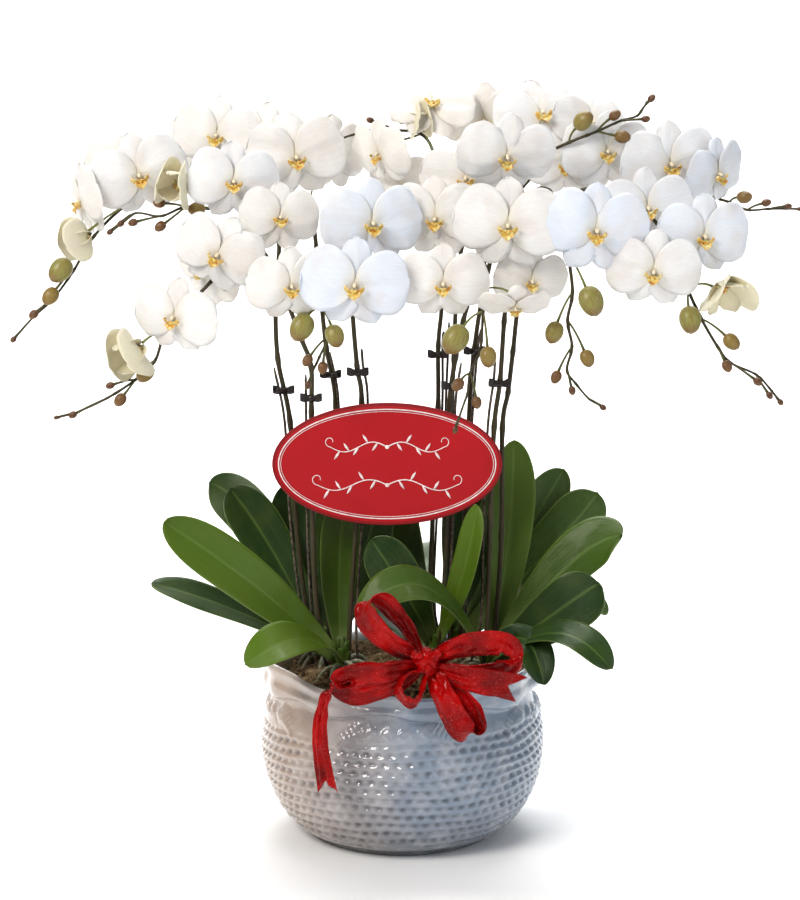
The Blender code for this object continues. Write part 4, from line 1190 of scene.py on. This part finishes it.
def lip(skin, place_at, width, draw):
    """The gold lip: two cupped ears, a broad tongue, the callus between them, tendrils and the column."""
    ahead = place_at(0, 1, 0) - place_at(0, 0, 0)
    ts = [j / 4 - 1 for j in range(9)]
    for side in (-1, 1):
        rows, marks = [], []
        for i in range(11):
            v = i / 10
            lift = math.sin(math.pi * (0.12 + 0.78 * v))
            row = []
            for t in ts:
                x = side * (0.012 + 0.088 * math.sin(v * 2.1) - 0.018 * t * t) * width
                row.append(place_at(x, (0.046 + 0.030 * t * lift + 0.030 * lift) * width,
                                    (-0.066 + 0.078 * v + 0.034 * t * lift) * width))
            rows.append(row)
            marks.append([(v, t, 1.0 - 0.55 * max(v - 0.55, 0) / 0.45, 0.0) for t in ts])
        skin.shell(rows, 0.8, marks, ahead)
    middle = smooth_path([(0, 0.036, -0.040), (0, 0.076, -0.058), (0, 0.104, -0.082), (0, 0.104, -0.118)], 4)
    halves = [0.028, 0.036, 0.044, 0.052, 0.059, 0.064, 0.067, 0.066, 0.060, 0.050, 0.037, 0.022, 0.008]
    rows, marks = [], []
    for i, (at, half) in enumerate(zip(middle, halves)):
        rows.append([place_at(half * t * width, (at.y + (0.026 - 0.016 * i / 12) * t * t) * width,
                              (at.z + 0.012 * t * t) * width) for t in ts])
        marks.append([(i / 12, t, 1.0 - 0.6 * max(abs(t) - 0.7, 0) / 0.3 * i / 12, 0.0) for t in ts])
    skin.shell(rows, 0.9, marks, ahead)
    upright = Matrix.Identity(3)
    for x, z, size in ((-0.018, -0.034, 0.021), (0.018, -0.034, 0.021), (0, -0.050, 0.024)):
        half_sizes = (size * width, size * 0.9 * width, size * 0.8 * width)
        centre = place_at(x * width, 0.070 * width, z * width)
        skin.lump(centre, half_sizes, upright, 1.0, 0.5, draw.uniform(0, 90))
    for side in (-1, 1):
        line = [(side * 0.005, 0.104, -0.112), (side * 0.012, 0.110, -0.126), (side * 0.022, 0.104, -0.131),
                (side * 0.028, 0.094, -0.124)]
        path = smooth_path([place_at(*[value * width for value in point]) for point in line], 3)
        skin.tube(path, [0.0036 * width * (1 - 0.6 * i / 9) for i in range(10)], 6, 0.6)
    line = [(0, -0.01, 0.012), (0, 0.024, 0.020), (0, 0.048, 0.018), (0, 0.064, 0.008), (0, 0.070, -0.002)]
    path = smooth_path([place_at(*[value * width for value in point]) for point in line], 3)
    radii = [0.017, 0.017, 0.018, 0.018, 0.019, 0.019, 0.020, 0.020, 0.020, 0.019, 0.017, 0.012, 0.006]
    skin.tube(path, [radius * width for radius in radii], 12, 0.25)


def blossom(petals, lips, centre, yaw, nod, roll, width, tint, draw, slopes=(6, -30)):
    """One moth orchid blossom: three sepals behind two broad petals, and the lip and column in front."""
    turn = facing(yaw, nod, roll)

    def place_at(x, forward, z):
        return Vector(centre) + turn @ Vector((x, -forward, z))

    base, end = slopes
    for angle in (90, -57, -123):
        away = angle + draw.uniform(-3, 3)
        long = width * (0.47 if angle == 90 else 0.45)
        tepal(petals, place_at, away, long, width * 0.158, (0.55, 0.50), (base, end), draw, tint, -1.2, 14, 8)
    for side, angle in ((1, 11), (-1, 169)):
        away = angle + draw.uniform(-5, 5)
        tepal(petals, place_at, away, width * 0.53, width * draw.uniform(0.315, 0.335), (0.50, 0.36),
              (base + 3, end + draw.uniform(-4, 14)), draw, tint, 0.8 + 0.4 * side, 18, 14)
    lip(lips, place_at, width, draw)


def build_blossoms(choice):
    """Every blossom, open or opening, with its gold lip."""
    petal, gold = petal_finish(choice), lip_finish(choice)
    for name, (_, spikes, _) in PLANTS.items():
        for number in spikes:
            for index, flower in enumerate(SPIKES[number]["blossoms"]):
                petals, lips = Skin(), Skin()
                draw = random.Random(number * 10 + index)
                blossom(petals, lips, *flower, PAINTED_COOL_LIGHT[number][index], draw)
                label = f"blossom_{number:02d}_{index + 1}"
                piece(label + "_petals", petals, petal, [name])
                piece(label + "_lip", lips, gold, [name])
            for (spike, index), (yaw, nod, roll, width, base, end) in OPENING.items():
                if spike != number:
                    continue
                petals, lips = Skin(), Skin()
                centre, length = SPIKES[spike]["buds"][index]
                face = facing(yaw, nod, roll) @ Vector((0, -1, 0))
                at = Vector(centre) - face * length * 0.4
                blossom(petals, lips, at, yaw, nod, roll, width, YOUNG, random.Random(spike), (base, end))
                piece(f"opening_{number:02d}_petals", petals, petal, [name])
                piece(f"opening_{number:02d}_lip", lips, gold, [name])


# ================================================================ stakes, clips and ties
def at_height(path, height):
    """The point where a rising path first passes a height, and the share of its points before it."""
    above = next(i for i, point in enumerate(path) if point.z > height)
    low, high = path[above - 1], path[above]
    return low.lerp(high, (height - low.z) / (high.z - low.z)), above / (len(path) - 1)


def loop_band(skin, start, end, inner, wall, height):
    """A closed band round two upright things that stand at start and end."""
    toward = end - start
    first = math.atan2(toward.y, toward.x)
    rings = []
    for turn in ring_turns(32):
        centre = end if math.cos(turn) > 0 else start
        out = Vector((math.cos(turn + first), math.sin(turn + first), 0))
        section = []
        for k in range(8):
            roundness = math.tau * (k + 0.5) / 8
            thick = wall / 2 * (1 + math.cos(roundness))
            section.append(centre + out * (inner + thick) + UP * height / 2 * math.sin(roundness))
        rings.append(section)
    skin.hoop(rings)


def clip_wings(skin, centre, across):
    """The two finger grips of a sprung clip, like a small butterfly."""
    for side in (-1, 1):
        rows, marks = [], []
        for i in range(8):
            share = i / 7
            row = []
            for j in range(7):
                t = j / 3 - 1
                out = across * side * (3.2 + 8.5 * share)
                half = 2.2 + 2.6 * math.sin(math.pi * min(share * 0.62 + 0.1, 1))
                row.append(centre + out + Vector((0, -2.5 * share * share, half * t + 2.2 * share)))
            rows.append(row)
            marks.append([PLAIN] * 7)
        skin.shell(rows, 1.1, marks, Vector((0, -1, 0)), edge=0.7)


def build_stakes():
    """The wire stakes beside the stems, the clips that hold them, and the wire ties of the card."""
    cane = grained_finish("stake_wire", (0.035, 0.026, 0.018), (0.13, 0.10, 0.07), 260.0, 0.0004,
                          Roughness=0.6)
    plastic = grained_finish("clip_plastic", (0.012, 0.008, 0.007), (0.035, 0.022, 0.018), 500.0, 0.0002,
                             Roughness=0.32, Coat_Weight=0.2)
    wire = grained_finish("tie_wire", (0.55, 0.54, 0.52), (0.75, 0.74, 0.72), 900.0, 0.0001, Roughness=0.35,
                          Metallic=0.4)
    for crown, spikes, _ in PLANTS.values():
        for number in sorted(STAKES.keys() & set(spikes)):
            bearing, clip_height = STAKES[number]
            path = stem_path(number)
            beside = Vector((math.cos(math.radians(bearing)), math.sin(math.radians(bearing)), 0))
            held, share = at_height(path, clip_height)
            top, _ = at_height(path, clip_height + STAKE_ABOVE_CLIP)
            foot = Vector((*crown, 0)) + beside * STAKE_FROM_CROWN
            foot.z = moss_height(foot.x, foot.y) + GAP
            rising = [p for p in itertools.takewhile(lambda p: p.z < top.z, path) if p.z > STAKE_LOWEST_BEND]
            line = smooth_path([foot, *[p + beside * STAKE_FROM_STEM for p in [*rising, top]]], 6)
            stake, clip = Skin(), Skin()
            stake.tube(line, [STAKE_RADIUS] * (len(line) - 1) + [STAKE_RADIUS * 0.6], 10)
            piece(f"stake_{number:02d}_wire", stake, cane, [f"stake_{number:02d}"])
            inner = stem_radius(share) + 1.4
            loop_band(clip, held, held + beside * STAKE_FROM_STEM, inner, 1.6, 7)
            clip_wings(clip, held + Vector((0, -inner - 1, 0)), Vector((1, 0, 0)))
            piece(f"clip_{number:02d}_sprung", clip, plastic, [f"stem_clip_{number:02d}"])
    for index, (number, height) in enumerate(CARD_TIES, start=1):
        held, share = at_height(stem_path(number), height)
        inner = stem_radius(share) + 0.6
        front = Vector((held.x, CARD_CENTRE[1] + CARD_THICKNESS / 2 + GAP + 1.2 + inner, height))
        tie = Skin()
        loop_band(tie, held, front, inner, 1.2, 1.2)
        piece(f"card_tie_{index}_wire", tie, wire, [f"card_tie_{index}"])


# ================================================================ card
def ellipse(shrink, depth):
    """Points of the card's outline, moved in by shrink and out by depth."""
    wide, high = CARD_SIZE[0] / 2 - shrink, CARD_SIZE[1] / 2 - shrink
    centre = Vector(CARD_CENTRE)
    return [centre + Vector((wide * math.cos(t), -depth, high * math.sin(t))) for t in ring_turns(CARD_TURNS)]


def flourish(skin, centre, width, height):
    """A plain scroll ornament: a waving line with a curl at each end and small leaves along it."""
    for side in (-1, 1):
        line = []
        for i in range(40):
            share = i / 39
            rise = height * 0.45 * math.sin(share * math.tau)
            line.append(centre + Vector((side * share * width, 0, rise)))
        for i in range(1, 16):
            turn = math.pi * 1.6 * i / 15
            reach = height * 0.5 * (1 - 0.55 * i / 15)
            rise = height * 0.5 - reach * math.cos(turn)
            line.append(line[39] + Vector((side * reach * math.sin(turn), 0, rise)))
        skin.tube(line, [0.85 * (1 - 0.5 * i / 54) for i in range(55)], 6)
        for k in range(1, 6):
            at = centre + Vector((side * k / 6 * width, 0, height * 0.45 * math.sin(k / 6 * math.tau)))
            up = height * 0.75 * (-1) ** k
            leaf_line = [at + Vector((side * 1.2 * i, 0, up * i / 5)) for i in range(6)]
            skin.tube(leaf_line, [0.3, 1.0, 1.5, 1.5, 1.0, 0.2], 6)
    skin.lump(centre, (2.4, 0.9, 2.4), Matrix.Identity(3), 0, 0.0, 0)


def build_card(choice):
    """The oval red card, its pale border lines and a plain scroll ornament."""
    skin, lines = Skin(), Skin()
    half = CARD_THICKNESS / 2
    steps = [(0.4, -half), (0, -half + 0.4), (0, half - 0.5), (0.5, half), (3.2, half), (3.8, half - 0.25),
             (12, half - 0.25), (40, half - 0.25)]
    rows = [ellipse(shrink, depth) for shrink, depth in steps]
    marks = [[(0.0, 0.0, 1.0 if shrink < 3.5 else 0.0, 0.0)] * CARD_TURNS for shrink, _ in steps]
    first = skin.lay(rows, marks, ring=True)
    skin.faces.append(tuple(range(first, first + CARD_TURNS)))
    last = first + CARD_TURNS * (len(steps) - 1)
    skin.faces.append(tuple(range(last, last + CARD_TURNS)))
    piece("card_oval", skin, card_finish(choice), ["gift_card"], crease=30)
    white = grained_finish("card_print", (0.72, 0.62, 0.62), (0.88, 0.82, 0.80), 300.0, 0.0002, Roughness=0.5)
    for shrink, thick in CARD_BORDERS:
        ring = ellipse(shrink, half + 0.05)
        sections = []
        for i, point in enumerate(ring):
            direction = (ring[(i + 1) % CARD_TURNS] - ring[i - 1]).normalized()
            out = direction.cross(Vector((0, 1, 0)))
            sections.append([point + out * thick * math.cos(turn) + Vector((0, 0.4 * math.sin(turn), 0))
                             for turn in ring_turns(6)])
        lines.hoop(sections)
    centre = Vector(CARD_CENTRE)
    flourish(lines, centre + Vector((0, -half, 19)), 62, 12)
    flourish(lines, centre + Vector((0, -half, -23)), 76, 13)
    piece("card_ornament", lines, white, ["gift_card"])


# ================================================================ bow
def ribbon_strip(name, points, first_side, last_side, shares, width, red, draw):
    """One strip of ribbon along its points, crumpled a little."""
    per_span = 7
    path = smooth_path(points, per_span)
    wide_at = np.interp(np.arange(len(path)) / per_span, range(len(shares)), shares)
    last, columns = len(path) - 1, 12
    start_side, end_side = Vector(first_side).normalized(), Vector(last_side).normalized()
    seed = draw.uniform(0, 50)
    rows, marks, area, length = [], [], 0.0, 0.0
    for i, (point, direction) in enumerate(zip(path, tangents(path))):
        side = start_side.lerp(end_side, i / last)
        side = (side - side.dot(direction) * direction).normalized()
        out = side.cross(direction)
        half = width / 2 * wide_at[i]
        gathered = 1 - wide_at[i]
        row, line = [], []
        for j in range(columns + 1):
            t = 2 * j / columns - 1
            pleat = 3.0 * gathered * math.cos(t * math.pi * 2.5)
            pleat += 3.2 * noise.noise(Vector((i * 0.22 + seed, t * 1.5, seed)))
            cut = 0.0
            if name.endswith("tail") and i > last - 5:
                cut = -width * 0.42 * (1 - abs(t)) * (i - last + 5) / 5
            row.append(point + side * half * t + out * pleat + direction * cut)
            line.append((i / last, t, 0.0, 0.0))
        rows.append(row)
        marks.append(line)
    for near, far in zip(rows, rows[1:]):
        for j in range(columns):
            area += (near[j + 1] - near[j]).cross(far[j] - near[j]).length / 2
            area += (far[j + 1] - far[j]).cross(near[j + 1] - far[j + 1]).length / 2
        length += (far[columns // 2] - near[columns // 2]).length
    skin = Skin()
    skin.shell(rows, RIBBON_THICKNESS, marks, Vector((0, -1, 0)), edge=1.0)
    made = piece(name, skin, red, ["ribbon_bow"])


def build_bow(choice):
    """The ribbon bow: its loops, tails and the tight band at their middle, on a short wire pick."""
    red = ribbon_finish(choice)
    draw = random.Random(5)
    knot = Skin()
    centre = Vector(KNOT_CENTRE)
    band = [(-168, 8), (-176, 12), (-186, 14), (-192, 12), (-196, 6)]
    knot.tube([centre + Vector((0, y, 0)) for y, _ in band], [radius for _, radius in band], 22, 0.0,
              lambda t: 1 + 0.10 * math.sin(5 * t) + 0.05 * math.sin(9 * t + 1))
    for x, z, size, turn in ((-9, 6, 8, 20), (8, 7, 9, -30), (2, -8, 8, 60)):
        half_sizes = (size, 5, size * 0.7)
        knot.lump(centre + Vector((x, -193, z)), half_sizes, facing(turn, 10, turn), 0, 0.9, 4.0 + x)
    pick = [Vector((25, -168, 237)), Vector((10, -150, 222)), Vector((4, -128, 212)), Vector((2, -118, 192))]
    knot.tube(pick, [1.5] * 4, 8)
    piece("bow_knot", knot, red, ["ribbon_bow"])
    for name, (points, first_side, last_side, shares) in RIBBON_STRIPS.items():
        ribbon_strip(name, points, first_side, last_side, shares, choice.ribbon_width / MM, red, draw)


# ================================================================ stage
def area_light(name, where, size, power, colour, target=(0, 0, 0.42)):
    """A soft square light that looks at target."""
    data = bpy.data.lights.new(name, "AREA")
    data.size, data.energy, data.color = size, power, colour
    made = bpy.data.objects.new(name, data)
    bpy.context.scene.collection.objects.link(made)
    made.location = where
    made.rotation_euler = (Vector(target) - Vector(where)).to_track_quat("-Z", "Y").to_euler()


def build_stage(choice):
    """A pale floor that curves up into a backdrop, soft lights and the camera."""
    mesh = bmesh.new()
    line = [(-6.0, 0.0), (2.2, 0.0)]
    line += [(2.2 + 1.5 * math.sin(t), 1.5 - 1.5 * math.cos(t)) for t in np.linspace(0.1, math.pi / 2, 16)]
    line.append((3.7, 7.0))
    edges = [[mesh.verts.new((x, y, z - 0.0005)) for y, z in line] for x in (-7.0, 7.0)]
    for i in range(len(line) - 1):
        mesh.faces.new((edges[0][i], edges[1][i], edges[1][i + 1], edges[0][i + 1]))
    bmesh.ops.recalc_face_normals(mesh, faces=mesh.faces)
    data = bpy.data.meshes.new("studio_floor")
    mesh.to_mesh(data)
    mesh.free()
    data.shade_smooth()
    made, tree, shader = finish("pale_floor", Roughness=0.85, Specular_IOR_Level=0.2)
    tone = mixed(tree, ramp(tree, clouds(tree, 3.0), grey((0.3, 0.0), (0.7, 0.3))), choice.floor_colour,
                 (0.90, 0.90, 0.90))
    tree.links.new(tone, shader.inputs["Base Color"])
    data.materials.append(made)
    floor = bpy.data.objects.new("studio_floor", data)
    bpy.context.scene.collection.objects.link(floor)
    floor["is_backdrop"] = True
    world = bpy.data.worlds.new("soft_room")
    bpy.context.scene.world = world
    world.use_nodes = True
    world.node_tree.nodes["Background"].inputs["Color"].default_value = (0.94, 0.96, 1.0, 1)
    world.node_tree.nodes["Background"].inputs["Strength"].default_value = 0.28
    area_light("key_light", (-1.6, -2.2, 2.4), 1.3, 70 * choice.light, (1.0, 0.96, 0.91))
    area_light("fill_light", (2.2, -1.8, 1.2), 1.8, 14 * choice.light, (0.88, 0.94, 1.0))
    area_light("top_light", (0.2, 0.6, 2.9), 1.6, 26 * choice.light, (1.0, 1.0, 1.0))
    area_light("backdrop_light", (0, 1.6, 3.2), 2.4, 125 * choice.light, (1.0, 1.0, 1.0), (0, 3.7, 0.8))
    lens = bpy.data.cameras.new("show_camera")
    lens.lens = 84.9
    camera = bpy.data.objects.new("show_camera", lens)
    bpy.context.scene.collection.objects.link(camera)
    camera.location = (-0.003, -2.350, 0.787)
    camera.rotation_euler = (Vector((-0.003, 0, 0.436)) - camera.location).to_track_quat("-Z", "Y").to_euler()
    bpy.context.scene.camera = camera
    bpy.context.scene.view_settings.view_transform = "Standard"
    bpy.context.scene.view_settings.look = "Medium High Contrast"


# ================================================================ add-on
def colour(name, description, default):
    """A colour property."""
    return FloatVectorProperty(name=name, description=description, default=default, subtype="COLOR", size=3,
                               min=0, max=1)


class PotSettings(bpy.types.PropertyGroup):
    """Sizes and colours of the pot and its filling."""

    pits_around: IntProperty(
        name="Pits Around", description="Pits in one row round the pot", default=74, min=20,
    )
    pit_depth: FloatProperty(name="Pit Depth", description="Depth of one pit", default=0.0027, unit="LENGTH")
    # Painted light: the warm and cool glazes stand for warm light on the pot's left and cool light on its
    # right.
    glaze_under_warm_light: colour("Warm Glaze", "Glaze on the pot's left side", (0.41, 0.325, 0.27))
    glaze_under_cool_light: colour("Cool Glaze", "Glaze on the pot's right side", (0.235, 0.285, 0.355))
    moss_brown: colour("Moss", "Middle colour of the dried moss", (0.13, 0.08, 0.045))


class PlantSettings(bpy.types.PropertyGroup):
    """Colours of the plants."""

    # Painted light: the warm and cool petal whites stand for warm and cool light falling on the blossoms.
    petal_under_warm_light: colour("Warm Petal", "Cream white", (0.81, 0.78, 0.735))
    petal_under_cool_light: colour("Cool Petal", "Bluish white", (0.68, 0.735, 0.82))
    petal_young: colour("Young Petal", "Greenish cream of an opening blossom", (0.74, 0.69, 0.47))
    lip_gold: colour("Lip", "Gold of the lip", (0.66, 0.49, 0.12))
    bud_green: colour("Bud", "Skin of a ripe bud", (0.27, 0.26, 0.07))
    stem_dark: colour("Stem", "Dark bark of the stems", (0.012, 0.007, 0.005))
    leaf_dark: colour("Dark Leaf", "Darkest leaf green", (0.006, 0.030, 0.008))
    leaf_light: colour("Light Leaf", "Lightest leaf green", (0.100, 0.175, 0.007))


class GiftSettings(bpy.types.PropertyGroup):
    """Size and colours of the ribbon and the card."""

    ribbon_width: FloatProperty(name="Ribbon Width", description="Flat width", default=0.036, unit="LENGTH")
    # Painted light and shade of the ribbon's folds.
    ribbon_lit_red: colour("Bright Ribbon", "Lit folds", (0.42, 0.0006, 0.0015))
    ribbon_shaded_red: colour("Deep Ribbon", "Dark folds", (0.15, 0.0002, 0.0006))
    card_red: colour("Card", "Face of the card", (0.41, 0.003, 0.009))


class StageSettings(bpy.types.PropertyGroup):
    """The stage's light and floor."""

    light: FloatProperty(name="Light", description="Share of the usual light", default=1.0, min=0)
    floor_colour: colour("Floor", "Colour of the floor", (0.94, 0.94, 0.94))


class ORCHID_OT_pot(bpy.types.Operator):
    """Builds the glazed pot"""

    bl_idname = "orchid.pot"
    bl_label = "Pot"

    def execute(self, context):
        build_pot(context.scene.orchid_pot)
        return {"FINISHED"}


class ORCHID_OT_moss(bpy.types.Operator):
    """Builds the moss mound, the bark chips and the strands"""

    bl_idname = "orchid.moss"
    bl_label = "Moss"

    def execute(self, context):
        build_moss(context.scene.orchid_pot)
        return {"FINISHED"}


class ORCHID_OT_leaves(bpy.types.Operator):
    """Builds the leaves, sheaths and roots of every plant"""

    bl_idname = "orchid.leaves"
    bl_label = "Leaves"

    def execute(self, context):
        build_leaves(context.scene.orchid_plant)
        return {"FINISHED"}


class ORCHID_OT_stems(bpy.types.Operator):
    """Builds the stems, twigs and closed buds"""

    bl_idname = "orchid.stems"
    bl_label = "Stems and Buds"

    def execute(self, context):
        build_stems(context.scene.orchid_plant)
        return {"FINISHED"}


class ORCHID_OT_blossoms(bpy.types.Operator):
    """Builds the blossoms"""

    bl_idname = "orchid.blossoms"
    bl_label = "Blossoms"

    def execute(self, context):
        build_blossoms(context.scene.orchid_plant)
        return {"FINISHED"}


class ORCHID_OT_stakes(bpy.types.Operator):
    """Builds the stakes, clips and ties"""

    bl_idname = "orchid.stakes"
    bl_label = "Stakes and Clips"

    def execute(self, context):
        build_stakes()
        return {"FINISHED"}


class ORCHID_OT_card(bpy.types.Operator):
    """Builds the gift card"""

    bl_idname = "orchid.card"
    bl_label = "Card"

    def execute(self, context):
        build_card(context.scene.orchid_gift)
        return {"FINISHED"}


class ORCHID_OT_bow(bpy.types.Operator):
    """Builds the ribbon bow"""

    bl_idname = "orchid.bow"
    bl_label = "Bow"

    def execute(self, context):
        build_bow(context.scene.orchid_gift)
        return {"FINISHED"}


class ORCHID_OT_stage(bpy.types.Operator):
    """Builds the floor, the lights and the camera"""

    bl_idname = "orchid.stage"
    bl_label = "Stage"

    def execute(self, context):
        build_stage(context.scene.orchid_stage)
        return {"FINISHED"}


SETTINGS = {"orchid_pot": PotSettings, "orchid_plant": PlantSettings, "orchid_gift": GiftSettings,
            "orchid_stage": StageSettings}
OPERATORS = (ORCHID_OT_pot, ORCHID_OT_moss, ORCHID_OT_leaves, ORCHID_OT_stems, ORCHID_OT_blossoms,
             ORCHID_OT_stakes, ORCHID_OT_card, ORCHID_OT_bow, ORCHID_OT_stage)


class ORCHID_PT_panel(bpy.types.Panel):
    """Lists the pieces and their settings"""

    bl_idname = "ORCHID_PT_panel"
    bl_label = "Potted Orchid"
    bl_space_type = "VIEW_3D"
    bl_region_type = "UI"
    bl_category = "Orchid"

    def draw(self, context):
        for group, kind in SETTINGS.items():
            box = self.layout.box()
            for name in kind.__annotations__:
                box.prop(getattr(context.scene, group), name)
        for operator in OPERATORS:
            self.layout.operator(operator.bl_idname)


def register():
    for kind in (*SETTINGS.values(), *OPERATORS, ORCHID_PT_panel):
        bpy.utils.register_class(kind)
    for name, kind in SETTINGS.items():
        setattr(bpy.types.Scene, name, PointerProperty(type=kind))


def unregister():
    for name in SETTINGS:
        delattr(bpy.types.Scene, name)
    for kind in reversed((*SETTINGS.values(), *OPERATORS, ORCHID_PT_panel)):
        bpy.utils.unregister_class(kind)


def main():
    register()
    for operator in OPERATORS:
        group, name = operator.bl_idname.split(".")
        getattr(getattr(bpy.ops, group), name)()
    sizes = {"cad": CAD_BOX, "visual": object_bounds()}
    {name: [list(corner) for corner in box] for name, box in sizes.items()}


if __name__ == "__main__":
    main()
